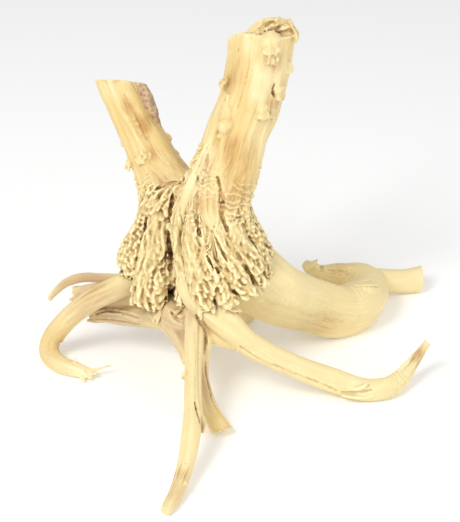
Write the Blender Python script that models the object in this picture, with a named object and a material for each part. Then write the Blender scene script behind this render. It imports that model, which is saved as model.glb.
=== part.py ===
"""A piece of spiderwood: two sawn stems that rise from one knobbly burl, and the roots that it stands on.

The piece grew as one body, so it is one object. Lengths are in millimetres until the last step, which scales
to metres. X runs to the right, Y to the back and Z up, and the floor that the roots stand on is at Z = 0.
"""

import math
import random

import bmesh
import bpy
import numpy as np
from mathutils import Matrix, Vector
from mathutils.bvhtree import BVHTree

# Metres in a millimetre, and the middle of the piece's plan as it grew, which becomes the origin.
MM = 0.001
PLAN_MIDDLE = Vector((32.6, -29.7, 0.0))

# Fineness: distance between rings, sides of a limb, voxel of the fused wood, and the triangles kept, first all
# over and then of the smooth wood outside the burl.
RING_STEP = 6.0
LIMB_SIDES = 18
VOXEL = 2.0
SMOOTH_PASSES = 3
EVEN_TRIANGLES = 6050
BARE_WOOD_KEPT = 0.42
WOOD_SEED = 11

# Each limb is a route of (x, y, z, radius) from its root in the burl, or from its sawn top, to its far end.
# The stems run on past their sawn ends, which the saw cuts below take off square.
STEMS = {
    "right_stem": [
        (53, 43, 272, 23.5), (50, 40, 256, 24), (46, 36, 229, 24.2), (39, 30, 205, 24), (31, 23, 186, 24.2),
        (25, 15, 167, 24.6), (18, 7, 148, 25.4), (14, 1, 128, 25.4), (15, -2, 105, 26), (17, -2, 84, 25),
    ],
    "left_stem": [
        (-62, 65, 217, 15), (-58, 62, 205, 15.4), (-51, 58, 192, 15.6), (-43, 52, 175, 15.6),
        (-35, 46, 158, 15.4), (-28, 40, 141, 15), (-25, 33, 121, 15.4), (-28, 24, 98, 18), (-33, 15, 76, 16.4),
        (-36, 8, 62, 12),
    ],
}
ROOTS = {
    "fat_root": [
        (20, 4, 94, 24), (38, 8, 79, 25), (60, 13, 57.5, 23.4), (88, 29, 36.4, 20.8), (113, 44, 20.8, 21.4),
        (131, 57, 18.6, 20.4), (140, 77, 17.6, 17.4), (133, 94, 18.6, 13.6), (117, 99, 20, 9.4),
    ],
    "fat_root_spur": [
        (87, 98, 32.5, 3.4), (92, 98, 28, 5.4), (102, 98, 23.5, 6.8), (118, 99, 20.5, 10.8), (144, 101, 15.5, 10),
        (166, 105, 12, 9.6), (183, 110, 10.8, 11), (194, 114, 10.4, 11.6),
    ],
    "right_root": [
        (4, -12, 86, 11), (14, -24, 70, 11.5), (26, -33, 55, 10.4), (41, -40, 43.5, 9), (70, -45, 29.5, 8.4),
        (101, -42, 14, 8.8), (124, -46, 8.4, 8.8), (142, -44, 8.6, 8.2), (154, -34, 11, 6.8),
        (163, -23, 17.5, 4.8), (169, -17, 24.5, 3.8), (174, -13, 31, 3),
    ],
    "front_root": [
        (-5, -8, 70, 11), (-2, -30, 63, 8.4), (-2, -62, 52, 6.2), (-1, -92, 39, 6), (-1, -120, 26, 6.4),
        (-4, -145, 13.4, 7), (-9.5, -165, 6.4, 6.4), (-16, -179, 4.8, 5),
    ],
    "front_root_strand": [
        (5, -22, 62, 7), (4, -62, 46, 5), (4, -92, 35, 4.6), (4, -114, 26, 5), (1, -136, 17, 5.4),
    ],
    "second_root": [
        (8, -20, 58, 10), (5, -42, 42, 6.6), (4, -60, 28, 5.6), (8, -76, 16, 5.8), (14, -90, 7.6, 7),
        (20, -101, 5.4, 8), (25, -112, 4.4, 8),
    ],
    "hook_root": [
        (-34, 10, 70, 11), (-50, 6, 69, 9), (-64, 2.5, 64, 8.8), (-81, 4.5, 52.5, 8.4), (-98.5, 8.5, 34.5, 7.8),
        (-111, 10, 17.2, 7.8), (-113, 3, 7.8, 7.8), (-104, -9, 5.4, 6.6), (-91, -16, 4.8, 5.8),
        (-80, -21, 4.6, 4),
    ],
    "thin_root": [
        (-34, 30, 62, 8), (-54, 41, 54.5, 4.8), (-76, 52, 47.5, 4.2), (-92, 58, 43.5, 4), (-106, 60, 36.5, 3.4),
        (-115, 58, 28, 2.6), (-118, 56, 24, 2),
    ],
    "left_stub": [
        (-34, 18, 58, 9), (-56, 29, 50, 7), (-76, 36, 43.5, 6.8), (-91, 40, 39, 5.8), (-98, 42, 36.5, 3.8),
    ],
    "low_stub": [
        (-6, -6, 52, 12), (-24, 0, 43, 9.8), (-44, 6, 39.5, 7.6), (-62, 11, 37, 6.4), (-76, 14, 35, 4),
        (-82, 15, 34, 2),
    ],
    "rear_prop": [
        (10, 14, 74, 14), (22, 26, 48, 10), (32, 44, 24, 8), (38, 58, 9, 7.6), (41, 68, 4.4, 6.4), (43, 76, 3.6, 3.6),
    ],
}
# Webs of wood fill the crotches under the burl and between the stems, as (x, y, z, radius) routes as well.
WEBS = {
    "front_web": [(-22, -2, 50, 12), (-9, -26, 55, 10.6), (6, -27, 53, 10), (20, -34, 47, 8), (34, -38, 43, 6)],
    "crotch_web": [(-22, -12, 46, 7), (-14, -24, 46, 7), (-8, -36, 44, 6.4), (-4, -52, 41, 5)],
    "middle_web": [(-36, 12, 74, 15), (-12, 8, 84, 18), (12, 4, 84, 22)],
    "rear_web": [(-30, 30, 84, 14), (0, 28, 84, 18), (26, 20, 82, 18)],
    "fork_web": [(-22, 38, 131, 12), (-4, 28, 138, 13), (14, 18, 144, 14)],
    "left_web": [(-38, 12, 60, 11), (-58, 14, 50, 7.5), (-74, 16, 44, 4)],
}

# The burl is two skirts of ropy strands, one round each stem's foot. A skirt's levels, from top to bottom, are
# each the (x, y, z) of the stem's axis, how far from it the middles of the strands stand, and their radius.
SKIRTS = {
    "right_skirt": {
        "levels": [(25, 16, 172, 18.5, 5), (15, 3, 132, 22, 6.2), (14, -3, 100, 26, 7.4), (16, -4, 72, 28, 7.6)],
        "strands": 12,
    },
    "left_skirt": {
        "levels": [(-28, 41, 144, 10.5, 4), (-25, 32, 117, 13, 5.2), (-29, 19, 91, 20.4, 7), (-34, 9, 62, 18, 7)],
        "strands": 9,
    },
}
STRAND_SWAY = 3.0
STRAND_LENGTH_VARIES = 9.0
STRAND_LOBES = 0.08

# The nubs cover the skirts from here below their lowest level, out to this many strand radii from the middles.
BURL_BELOW_AXIS = 14.0
BURL_THICKNESS = 2.2

# Knots on the stems, as (x, y, z), radius of the swelling, and nubs on it.
KNOTS = {
    "top_knot": ((53, 19, 243), 7, 6),
    "shoulder_knot": ((71, 32, 232), 3.6, 3),
    "ledge_knot": ((62, 15, 212), 4.6, 5),
    "middle_knot": ((48, 9, 197), 4, 4),
    "left_face_knot": ((23, 5, 186), 5, 5),
    "back_knot": ((44, 56, 214), 6, 5),
    "left_stem_front_knot": ((-43, 38, 173), 3, 3),
    "left_stem_band": ((-32, 31, 153), 4, 5),
    "left_stem_spur": ((-46, 42, 149), 4.4, 3),
    "left_stem_bud": ((-57, 50, 172), 2.6, 2),
    "left_stem_inner_knot": ((-21, 50, 166), 4, 4),
}

# Saw cuts and broken ends, as a point on the cut, the direction that the offcut lies in, and the cutter's half
# width.
CUTS = {
    "right_stem_top": ((50, 40, 257.5), (0.0, 0.27, 0.96), 45),
    "left_stem_top": ((-58, 62, 207.5), (0.04, 0.5, 0.86), 30),
    "spur_end": ((184, 112, 12), (1.0, 0.12, -0.05), 30),
    "second_root_end": ((20, -100, 5), (0.35, -0.93, -0.1), 13),
}
CUT_DEPTH = 40.0
FLOOR_BLOCK = 600.0

# The burl's surface is raised in nubs: how far at the skirts' lower rims, how far the clefts between them sink,
# how steeply the nubs droop, and how much their heights vary.
RELIEF_HEIGHT = 3.6
RELIEF_CLEFT = 0.9
RELIEF_DROOP = 0.9
RELIEF_VARIES = 0.35

# Fingers are the longer nubs, at the strands' toes and on the knots. They start a little inside the wood.
FINGER_SPACING = 4.6
FINGER_RADIUS = 2.2
FINGER_LENGTH = 7.0
FINGER_SIDES = 5
FINGER_SUNK = 1.8
FINGERS_A_TOE = 3
KNOT_FINGER_SIZE = 0.72

WOOD_COLOUR = (0.76, 0.58, 0.30, 1.0)
WOOD_ROUGHNESS = 0.62


def catmull_rom(a, b, c, d, t):
    """A smooth curve from b to c that heads for each as the points a and d ask."""
    return 0.5 * (2 * b + (c - a) * t + (2 * a - 5 * b + 4 * c - d) * t * t + (3 * b - a - 3 * c + d) * t ** 3)


def smooth_route(points):
    """Points of a smooth curve through a route, about RING_STEP apart, each with its radius."""
    knots = [Vector(point) for point in points]
    knots = [knots[0] * 2 - knots[1], *knots, knots[-1] * 2 - knots[-2]]
    route = []
    for a, b, c, d in zip(knots, knots[1:], knots[2:], knots[3:]):
        pieces = max(1, round((c.xyz - b.xyz).length / RING_STEP))
        route += [catmull_rom(a, b, c, d, i / pieces) for i in range(pieces)]
    return [*route, knots[-2]]


def add_limb(bm, points, phase=0.0, lobe_depth=0.05):
    """A closed tube round a route, slightly lobed as roots are, with rounded ends."""
    route = smooth_route(points)
    rings = []
    across = None
    for index, centre in enumerate(route):
        ahead = route[min(index + 1, len(route) - 1)] - route[max(index - 1, 0)]
        along = ahead.xyz.normalized()
        across = along.orthogonal() if across is None else across - along * across.dot(along)
        across.normalize()
        beside = along.cross(across)
        ring = []
        for side in range(LIMB_SIDES):
            angle = math.tau * side / LIMB_SIDES
            lobes = math.sin(3 * angle + phase) + 0.6 * math.sin(5 * angle - 2 * phase + index * 0.12)
            reach = centre.w * (1 + lobe_depth * lobes)
            ring.append(bm.verts.new(centre.xyz + reach * (math.cos(angle) * across + math.sin(angle) * beside)))
        rings.append(ring)
    for near, far in zip(rings, rings[1:]):
        for side in range(LIMB_SIDES):
            after = (side + 1) % LIMB_SIDES
            bm.faces.new((near[side], near[after], far[after], far[side]))
    bm.faces.new(reversed(rings[0]))
    bm.faces.new(rings[-1])


def skirt_strands(skirt, rng):
    """Routes of the ropy strands that run down round a stem's foot, each with a toe that ends in the open."""
    routes = []
    for strand in range(skirt["strands"]):
        bearing = math.tau * (strand + rng.uniform(-0.25, 0.25)) / skirt["strands"]
        drop = rng.uniform(-STRAND_LENGTH_VARIES, STRAND_LENGTH_VARIES)
        twist = rng.uniform(-0.16, 0.16)
        route = []
        for level, (*axis, reach, radius) in enumerate(skirt["levels"]):
            share = level / (len(skirt["levels"]) - 1)
            angle = bearing + twist * share + rng.uniform(-1, 1) * STRAND_SWAY / reach
            outward = Vector((math.cos(angle), math.sin(angle), 0))
            centre = Vector(axis) + outward * reach + Vector((0, 0, drop * share))
            route.append((*centre, radius * rng.uniform(0.85, 1.1)))
        toe = Vector(route[-1][:3]) + outward * 2 - Vector((0, 0, 7))
        routes.append([*route, (*toe, route[-1][3] * 0.6)])
    return routes


def add_ball(bm, centre, radius):
    """A faceted ball, for a knot's swelling."""
    bmesh.ops.create_icosphere(bm, subdivisions=2, radius=radius, matrix=Matrix.Translation(centre))


def object_from(bm, name):
    """A linked object that holds the bmesh, with its faces turned outwards."""
    bmesh.ops.recalc_face_normals(bm, faces=bm.faces)
    mesh = bpy.data.meshes.new(name)
    bm.to_mesh(mesh)
    bm.free()
    made = bpy.data.objects.new(name, mesh)
    bpy.context.scene.collection.objects.link(made)
    return made


def apply_modifiers(wood):
    """Bakes an object's modifiers into its mesh."""
    graph = bpy.context.evaluated_depsgraph_get()
    baked = bpy.data.meshes.new_from_object(wood.evaluated_get(graph))
    wood.modifiers.clear()
    wood.data = baked


def fuse(wood):
    """Grows overlapping shells together, smooths where they meet, and thins the mesh evenly."""
    join = wood.modifiers.new("join", "REMESH")
    join.mode = "VOXEL"
    join.voxel_size = VOXEL
    relax = wood.modifiers.new("relax", "SMOOTH")
    relax.factor = 0.5
    relax.iterations = SMOOTH_PASSES
    apply_modifiers(wood)
    thin = wood.modifiers.new("thin", "DECIMATE")
    wood.data.calc_loop_triangles()
    thin.ratio = EVEN_TRIANGLES / len(wood.data.loop_triangles)
    apply_modifiers(wood)


def thin_bare_wood(wood):
    """Thins the mesh again where there is no burl."""
    for vertex in wood.data.vertices:
        vertex.select = burl_share(vertex.co) == 0
    bpy.context.view_layer.objects.active = wood
    bpy.ops.object.mode_set(mode="EDIT")
    bpy.ops.mesh.select_mode(type="VERT")
    bpy.ops.mesh.decimate(ratio=BARE_WOOD_KEPT)
    bpy.ops.object.mode_set(mode="OBJECT")


def subtract(wood, cutter):
    """Cuts one block away from the wood."""
    cut = wood.modifiers.new("cut", "BOOLEAN")
    cut.operation = "DIFFERENCE"
    cut.solver = "EXACT"
    cut.object = cutter
    apply_modifiers(wood)
    bpy.data.objects.remove(cutter)


def block(name, place, size):
    """A box-shaped cutter, of a size along its own axes."""
    bm = bmesh.new()
    bmesh.ops.create_cube(bm, size=1, matrix=place @ Matrix.Diagonal((*size, 1)))
    return object_from(bm, name)


def saw(wood):
    """Cuts the sawn and broken ends square, and flattens what stands on the floor."""
    for name, (point, offcut_side, half_width) in CUTS.items():
        turn = Vector(offcut_side).to_track_quat("Z", "Y").to_matrix().to_4x4()
        place = Matrix.Translation(point) @ turn @ Matrix.Translation((0, 0, CUT_DEPTH / 2))
        subtract(wood, block(name, place, (2 * half_width, 2 * half_width, CUT_DEPTH)))
    below = Matrix.Translation((PLAN_MIDDLE.x, PLAN_MIDDLE.y, -CUT_DEPTH / 2))
    subtract(wood, block("floor", below, (FLOOR_BLOCK, FLOOR_BLOCK, CUT_DEPTH)))


def burl_share(point):
    """How far the burl's nubs stand out at a point, from 0 on bare wood to 1 at the skirts' lower rims."""
    share = 0.0
    for skirt in SKIRTS.values():
        levels = list(zip(*reversed(skirt["levels"])))
        x, y, _, reach, radius = (np.interp(point.z, levels[2], values) for values in levels)
        outward = math.hypot(point.x - x, point.y - y) - reach
        risen = (point.z - levels[2][0] + BURL_BELOW_AXIS) / (levels[2][-1] - levels[2][0])
        if 0 < risen < 1 and outward < BURL_THICKNESS * radius:
            share = max(share, 1 - 0.9 * risen)
    return share


def raise_nubs(wood):
    """Raises a nub at each point of the burl's mesh, with a cleft at the middle of each old triangle.

    Poking the triangles and turning the old edges between the new points leaves a ring of small faces round
    each old point, so that each nub is a cone of its own.
    """
    rng = random.Random(WOOD_SEED + 1)
    bm = bmesh.new()
    bm.from_mesh(wood.data)
    bmesh.ops.triangulate(bm, faces=bm.faces)
    bm.normal_update()
    burl = [face for face in bm.faces if all(burl_share(vertex.co) > 0 for vertex in face.verts)]
    nubs = {vertex: vertex.normal.copy() for face in burl for vertex in face.verts}
    inside = set(burl)
    turned = [edge for edge in bm.edges if all(face in inside for face in edge.link_faces)]
    clefts = bmesh.ops.poke(bm, faces=burl)["verts"]
    bmesh.ops.rotate_edges(bm, edges=turned, use_ccw=False)
    bm.normal_update()
    for cleft in clefts:
        cleft.co -= cleft.normal * RELIEF_CLEFT * burl_share(cleft.co)
    for vertex, outward in nubs.items():
        share = burl_share(vertex.co)
        height = RELIEF_HEIGHT * (0.25 + 0.75 * share) * (1 + rng.uniform(-1, 1) * RELIEF_VARIES)
        vertex.co += (outward - Vector((0, 0, RELIEF_DROOP * share))).normalized() * height
    bm.to_mesh(wood.data)
    bm.free()


def finger_places(wood, toes):
    """Where the fingers stand, each as a point, the way out of the wood and a size."""
    rng = random.Random(WOOD_SEED + 2)
    surface = BVHTree.FromObject(wood, bpy.context.evaluated_depsgraph_get())
    wanted = [(Vector(centre), radius, count, KNOT_FINGER_SIZE) for centre, radius, count in KNOTS.values()]
    wanted += [(Vector(toe[:3]), toe[3] * 1.6, FINGERS_A_TOE, 1.0) for toe in toes]
    places = []
    for centre, spread, count, size in wanted:
        found = 0
        for _ in range(20 * count):
            if found == count:
                break
            offset = Vector(rng.gauss(0, 0.7 * spread) for _ in range(3))
            point, outward, *_ = surface.find_nearest(centre + offset)
            near = any((point - other).length < FINGER_SPACING * size for other, _, _ in places)
            if not near and outward.z > -0.7:
                places.append((point, outward, size * rng.uniform(0.85, 1.1)))
                found += 1
    return places


def add_finger(bm, point, outward, size, rng):
    """A blunt finger that leaves the wood and droops towards the floor."""
    lean = (outward + Vector((0, 0, -RELIEF_DROOP))).normalized()
    turn = (lean + 0.5 * outward).to_track_quat("Z", "Y").to_matrix().to_4x4()
    place = Matrix.Translation(point) @ turn @ Matrix.Rotation(rng.uniform(0, math.tau), 4, "Z")
    rings = []
    for height, width in ((-FINGER_SUNK, 0.9), (0.6 * FINGER_LENGTH * size, 1.0)):
        ring = []
        for side in range(FINGER_SIDES):
            angle = math.tau * side / FINGER_SIDES
            reach = FINGER_RADIUS * size * width
            ring.append(bm.verts.new(place @ Vector((math.cos(angle) * reach, math.sin(angle) * reach, height))))
        rings.append(ring)
    tip = bm.verts.new(place @ Vector((0, 0, FINGER_LENGTH * size)))
    for side in range(FINGER_SIDES):
        after = (side + 1) % FINGER_SIDES
        bm.faces.new((rings[0][side], rings[0][after], rings[1][after], rings[1][side]))
        bm.faces.new((rings[1][side], rings[1][after], tip))
    bm.faces.new(reversed(rings[0]))


def grow_fingers(wood, toes):
    """Fuses the fingers to the wood with one union on their collection.

    The EXACT solver leaves open edges where fingers cross the nubs, so this one union uses MANIFOLD.
    """
    rng = random.Random(WOOD_SEED + 3)
    fingers = bpy.data.collections.new("fingers")
    bpy.context.scene.collection.children.link(fingers)
    for number, (point, outward, size) in enumerate(finger_places(wood, toes)):
        bm = bmesh.new()
        add_finger(bm, point, outward, size, rng)
        finger = object_from(bm, f"finger_{number}")
        bpy.context.scene.collection.objects.unlink(finger)
        fingers.objects.link(finger)
    join = wood.modifiers.new("join", "BOOLEAN")
    join.operation = "UNION"
    join.solver = "MANIFOLD"
    join.operand_type = "COLLECTION"
    join.collection = fingers
    apply_modifiers(wood)
    for finger in list(fingers.objects):
        bpy.data.objects.remove(finger)
    bpy.data.collections.remove(fingers)


def keep_largest_shell(wood):
    """Drops loose scraps, and the small hollows that limbs and nubs shut in where they overlap."""
    bm = bmesh.new()
    bm.from_mesh(wood.data)
    seen = set()
    shells = []
    for start in bm.verts:
        if start in seen:
            continue
        seen.add(start)
        shell = [start]
        for vertex in shell:
            beside = [edge.other_vert(vertex) for edge in vertex.link_edges]
            fresh = [other for other in beside if other not in seen]
            seen.update(fresh)
            shell += fresh
        shells.append(shell)
    shells.sort(key=len)
    for shell in shells[:-1]:
        bmesh.ops.delete(bm, geom=shell, context="VERTS")
    bm.to_mesh(wood.data)
    bm.free()


def finish(wood):
    """Gives the wood its material, and scales it to metres about its own origin."""
    material = bpy.data.materials.new("pale wood")
    material.use_nodes = True
    shader = material.node_tree.nodes["Principled BSDF"]
    shader.inputs["Base Color"].default_value = WOOD_COLOUR
    shader.inputs["Roughness"].default_value = WOOD_ROUGHNESS
    shader.inputs["Metallic"].default_value = 0.0
    wood.data.materials.clear()
    wood.data.materials.append(material)
    wood.data.transform(Matrix.Scale(MM, 4) @ Matrix.Translation(-PLAN_MIDDLE))
    wood.data.shade_flat()


def main():
    for obj in list(bpy.data.objects):
        bpy.data.objects.remove(obj)
    rng = random.Random(WOOD_SEED)
    strands = [route for skirt in SKIRTS.values() for route in skirt_strands(skirt, rng)]
    bm = bmesh.new()
    for route in [*STEMS.values(), *ROOTS.values(), *WEBS.values()]:
        add_limb(bm, route, phase=rng.uniform(0, math.tau))
    for route in strands:
        add_limb(bm, route, phase=rng.uniform(0, math.tau), lobe_depth=STRAND_LOBES)
    for centre, radius, _ in KNOTS.values():
        add_ball(bm, Vector(centre), radius)
    wood = object_from(bm, "spiderwood")
    fuse(wood)
    thin_bare_wood(wood)
    saw(wood)
    raise_nubs(wood)
    grow_fingers(wood, [route[-1] for route in strands])
    keep_largest_shell(wood)
    finish(wood)


main()
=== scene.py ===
"""A piece of spiderwood: two sawn stems, a knobbly burl and its roots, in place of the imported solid.

Lengths of the wood are in millimetres as it grew, with X to the right, Y to the back and Z up from the
floor. The last step of the growing scales its two closed pieces to metres, in the frame's own place.
"""

import itertools
import math

import bpy
import numpy as np
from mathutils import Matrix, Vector
from mathutils.bvhtree import BVHTree


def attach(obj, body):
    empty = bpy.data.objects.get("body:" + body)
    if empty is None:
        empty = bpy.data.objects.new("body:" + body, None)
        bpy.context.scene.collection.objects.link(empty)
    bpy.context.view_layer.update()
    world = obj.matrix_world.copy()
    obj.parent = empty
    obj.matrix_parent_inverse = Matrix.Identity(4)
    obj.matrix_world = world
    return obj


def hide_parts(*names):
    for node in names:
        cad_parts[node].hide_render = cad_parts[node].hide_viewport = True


bl_info = {
    "name": "Spiderwood",
    "version": (1, 0, 0),
    "blender": (4, 5, 0),
    "location": "3D View > Sidebar > Spiderwood",
    "description": "Grows a piece of spiderwood with its burl, roots and stems, and sets a studio round it",
    "category": "Object",
}

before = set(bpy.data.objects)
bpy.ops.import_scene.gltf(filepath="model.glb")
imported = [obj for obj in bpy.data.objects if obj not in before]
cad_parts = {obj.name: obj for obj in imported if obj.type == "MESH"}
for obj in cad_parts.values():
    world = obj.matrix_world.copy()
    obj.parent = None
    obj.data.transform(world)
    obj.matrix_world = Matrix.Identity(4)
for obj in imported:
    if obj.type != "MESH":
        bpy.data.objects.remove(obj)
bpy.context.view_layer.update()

# Metres in a millimetre, and the middle of the piece's plan as it grew, which is the frame's origin.
MM = 0.001
PLAN_MIDDLE = np.array((32.6, -29.7, 0.0))
GROWTH_SEED = 5
# What each effect adds to the seed, so that no two are alike, and the step from one limb's seed to the next.
SEED_OF = {"nubs": 20, "bends": 24, "folds": 31, "gouge_edges": 33, "gouge_depths": 34, "rays": 40,
           "tints": 51}
LIMB_SEED_STEP = 13

# Each limb is a route of (x, y, z, radius) from its start in the burl, or from its sawn top, to its far end.
# A flare is a swelling that blends a stem or a root into the burl.
STEMS = {
    "right_stem": [
        (53, 43, 272, 23.3), (50, 40, 256, 23.7), (47, 36, 229, 23.2), (40.8, 30, 205, 22.6),
        (33, 23, 186, 22.4), (26.8, 15, 167, 23), (19.4, 7, 148, 24.4), (14.4, 1, 128, 25), (15, -2, 105, 26),
        (17, -2, 84, 25),
    ],
    "left_stem": [
        (-61, 65, 217, 13.8), (-57, 62, 205, 14.2), (-51, 58, 192, 14.8), (-43, 52, 175, 15.2),
        (-35, 46, 158, 15.4), (-28, 40, 141, 15), (-25, 33, 121, 15.4), (-28, 24, 98, 18),
        (-33, 15, 76, 16.4), (-36, 8, 62, 12),
    ],
}
FLARES = {
    "left_stem_flare": [
        (-42, 54, 182, 10), (-34, 47, 168, 12.6), (-24, 38, 154, 13), (-13, 30, 144, 12), (-2, 22, 134, 12),
        (8, 12, 122, 12),
    ],
    "right_root_shoulder": [
        (-6, -14, 98, 5), (-7, -21, 86, 5.4), (-4, -27, 76, 5.4), (4, -31, 69, 5.6), (13, -35, 62, 6),
        (24, -39, 55, 6.4), (38, -42, 47, 6.6), (56, -44, 38, 6),
    ],
    "front_web": [(-34, 14, 56, 5), (-22, -2, 52, 11), (-10, -24, 54, 10.4), (4, -27, 53, 9),
                  (20, -34, 47, 7.6), (34, -38, 43, 6), (44, -40, 40, 3)],
    "crotch_web": [(-34, 0, 46, 4), (-22, -12, 46, 7.4), (-14, -26, 46, 7.4), (-8, -40, 43, 6),
                   (-5, -58, 40, 3.6)],
    "left_web": [(-38, 12, 60, 11), (-58, 14, 50, 7.5), (-74, 16, 44, 4)],
}
ROOTS = {
    "fat_root": [
        (20, 4, 94, 24), (38, 8, 79, 25), (60, 13, 57.5, 23.4), (88, 29, 36.4, 20.8), (112, 44, 20.8, 20.6),
        (129, 57, 18.8, 19.6), (137, 77, 17.6, 16.6), (133, 94, 18.6, 13.6), (117, 99, 20, 9.4),
    ],
    "fat_root_spur": [
        (87, 98, 32.5, 3.4), (92, 98, 28, 5.4), (102, 98, 23.5, 6.8), (118, 99, 20.5, 10.8),
        (144, 101, 15.5, 10), (166, 105, 12, 9.6), (183, 110, 10.8, 11), (194, 114, 10.4, 11.6),
    ],
    "right_root": [
        (4, -12, 86, 11), (14, -24, 70, 11.5), (26, -33, 55, 10.4), (41, -40, 43.5, 9), (70, -45, 29.5, 8.4),
        (101, -42, 14, 8.6), (124, -46, 8.2, 8.4), (142, -44, 8.2, 7.6), (154, -34, 11, 6.2),
        (164, -23, 17.5, 4.4), (171, -17, 24.5, 3.2), (177, -13, 31.5, 2.6),
    ],
    "front_root": [
        (-5, -8, 70, 10), (-2.4, -30, 62, 6), (-1.6, -62, 51, 4.5), (-0.9, -92, 38, 4.6),
        (-0.4, -120, 26, 6.6), (-4.4, -145, 13, 5.8), (-10, -165, 6.2, 5), (-14.8, -177, 4.6, 4.4),
        (-17, -182, 4, 3.2),
    ],
    "front_root_strand": [
        (3, -22, 60, 6), (2.6, -62, 47, 3.4), (3.2, -92, 35, 3.2), (4.6, -112, 27, 3), (4.6, -119, 24, 1.4),
    ],
    "second_root": [
        (8, -20, 58, 10), (5, -42, 43, 7), (4, -58, 30, 6), (8, -71, 18, 6), (13, -81, 9.4, 6.6),
        (18, -88.5, 4.6, 7.2), (23, -96, -1, 7.2),
    ],
    "hook_root": [
        (-34, 10, 70, 11), (-50, 6, 69, 9), (-64, 2.5, 64, 8.8), (-81, 4.5, 52.5, 8.4),
        (-98.5, 8.5, 34.5, 7.8), (-111, 10, 17.2, 7.8), (-113, 3, 7.8, 7.8), (-104, -9, 5.4, 6.6),
        (-91, -16, 4.8, 5.8), (-80, -21, 4.6, 4),
    ],
    "thin_root": [
        (-34, 30, 60, 8), (-54, 41, 51.5, 4.6), (-76, 52, 46, 4), (-91, 58, 42.5, 3.8), (-104, 60, 36.5, 3.2),
        (-113, 58, 29, 2.6), (-118, 56, 23, 1.8),
    ],
    "left_stub": [
        (-34, 18, 58, 9), (-56, 29, 50, 7), (-76, 36, 43.5, 6.8), (-91, 40, 39, 5.8), (-98, 42, 36.5, 3.8),
    ],
    "low_stub": [
        (-6, -6, 52, 12), (-24, 0, 43, 9.8), (-44, 6, 39.5, 7.6), (-62, 11, 37, 6.4), (-76, 14, 35, 4),
        (-82, 15, 34, 2),
    ],
    "rear_prop": [
        (10, 14, 74, 14), (22, 26, 48, 10), (32, 44, 24, 8), (38, 58, 9, 7.6), (41, 68, 4.4, 6.4),
        (43, 76, 3.6, 3.6),
    ],
}
# Thick limbs inside, which carry the burl.
WEBS = {
    "middle_web": [(-36, 12, 74, 15), (-12, 8, 84, 18), (12, 4, 84, 22)],
    "rear_web": [(-30, 30, 84, 14), (0, 28, 84, 18), (26, 20, 82, 18)],
    "fork_web": [(-22, 38, 131, 12), (-4, 28, 138, 13), (14, 18, 144, 14)],
}

# The ropy strands of the burl that face the front, from their tops to the toes that end in the open.
FRONT_STRANDS = {
    "right_edge_rope": [
        (-3, 2, 152, 8), (-7, 0, 138, 7), (-9, -5, 124, 6.8), (-8, -9, 110, 6.8), (-6, -13, 97, 6.6),
        (-6, -18, 84, 6), (-6, -24, 74, 4.6),
    ],
    "right_left_rope": [
        (3, -7, 150, 7), (1, -12, 138, 7), (0, -16, 126, 7), (0, -21, 114, 7), (2, -25, 101, 6.8),
        (6, -29, 88, 6), (9, -33, 76, 4.6),
    ],
    "right_middle_rope": [
        (8, -12, 146, 7), (8, -16, 133, 7), (8, -20, 120, 6.4), (9, -23, 109, 6), (13, -28, 98, 6),
        (18, -31, 88, 5.6), (24, -33, 78, 4.4),
    ],
    "right_hole_rope": [
        (14, -12, 147, 6), (16, -16, 135, 6), (19, -21, 123, 6), (23, -24, 112, 6), (28, -26, 101, 6),
        (33, -27, 90, 5.4), (37, -28, 82, 4.2),
    ],
    "right_outer_rope": [
        (22, -12, 148, 6), (26, -15, 134, 6.2), (31, -18, 121, 6.4), (37, -18, 108, 6.4), (42, -18, 96, 6),
        (45, -19, 86, 4.6),
    ],
    "right_side_rope": [
        (29, -7, 150, 6), (33, -8, 136, 6), (38, -9, 122, 6.4), (43, -9, 108, 6.6), (48, -9, 96, 6.2),
        (51, -9, 86, 4.8),
    ],
    "right_rim_rope": [
        (33, 0, 150, 6), (35, 2, 136, 6), (38, 3, 122, 6.4), (44, 4, 108, 6.4), (50, 4, 96, 6),
        (54, 3, 87, 4.8),
    ],
    "left_middle_rope": [
        (-29, 25, 134, 6), (-29, 19, 120, 7.6), (-31, 13, 109, 7.4), (-33, 6, 99, 8), (-35, -1, 87, 8),
        (-38, -6, 75, 7.4), (-40, -9, 64, 5.4),
    ],
    "left_inner_rope": [
        (-21, 24, 131, 5.4), (-22, 16, 119, 5.6), (-23, 8, 108, 5.6), (-25, 2, 98, 5.6), (-27, -4, 86, 6.2),
        (-28, -9, 74, 6.4), (-29, -11, 62, 5),
    ],
    "left_outer_rope": [
        (-32, 27, 130, 4.4), (-35, 22, 118, 5.4), (-38.5, 16, 107, 6), (-43, 10, 98, 7), (-46, 4, 89, 6.6),
        (-48, 0, 79, 5),
    ],
    "left_clump_rope": [
        (-31, 34, 132, 3.6), (-34, 31, 121, 4.6), (-38, 26, 109, 5), (-45, 20, 98, 6.4), (-50, 14, 88, 6.4),
        (-53, 10, 80, 5),
    ],
}
# Thin ropes that fan out from the fork to the lower left.
FORK_ROPES = {
    "fork_rope_1": [(-8, 19, 151, 1.6), (-12, 18, 144, 2.4), (-17, 18, 134, 2.8), (-21, 14, 122, 2.8),
                    (-23, 9, 112, 2.4)],
    "fork_rope_2": [(-11, 22, 150, 1.6), (-17, 22, 142, 2.4), (-23, 20, 133, 2.8), (-27, 16, 121, 2.8),
                    (-29, 11, 112, 2.4)],
    "fork_rope_3": [(-16, 25, 148, 1.6), (-23, 25, 140, 2.4), (-29, 23, 132, 2.6), (-33, 19, 121, 2.6),
                    (-35, 14, 112, 2.2)],
    "fork_rope_4": [(-21, 28, 146, 1.6), (-28, 28, 139, 2.4), (-34, 26, 131, 2.6), (-38, 22, 121, 2.6),
                    (-40, 17, 112, 2.2)],
    "fork_rope_5": [(-6, 15, 147, 1.6), (-11, 15, 136, 2.4), (-14, 11, 124, 2.6), (-16, 5, 112, 2.4)],
}
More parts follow.
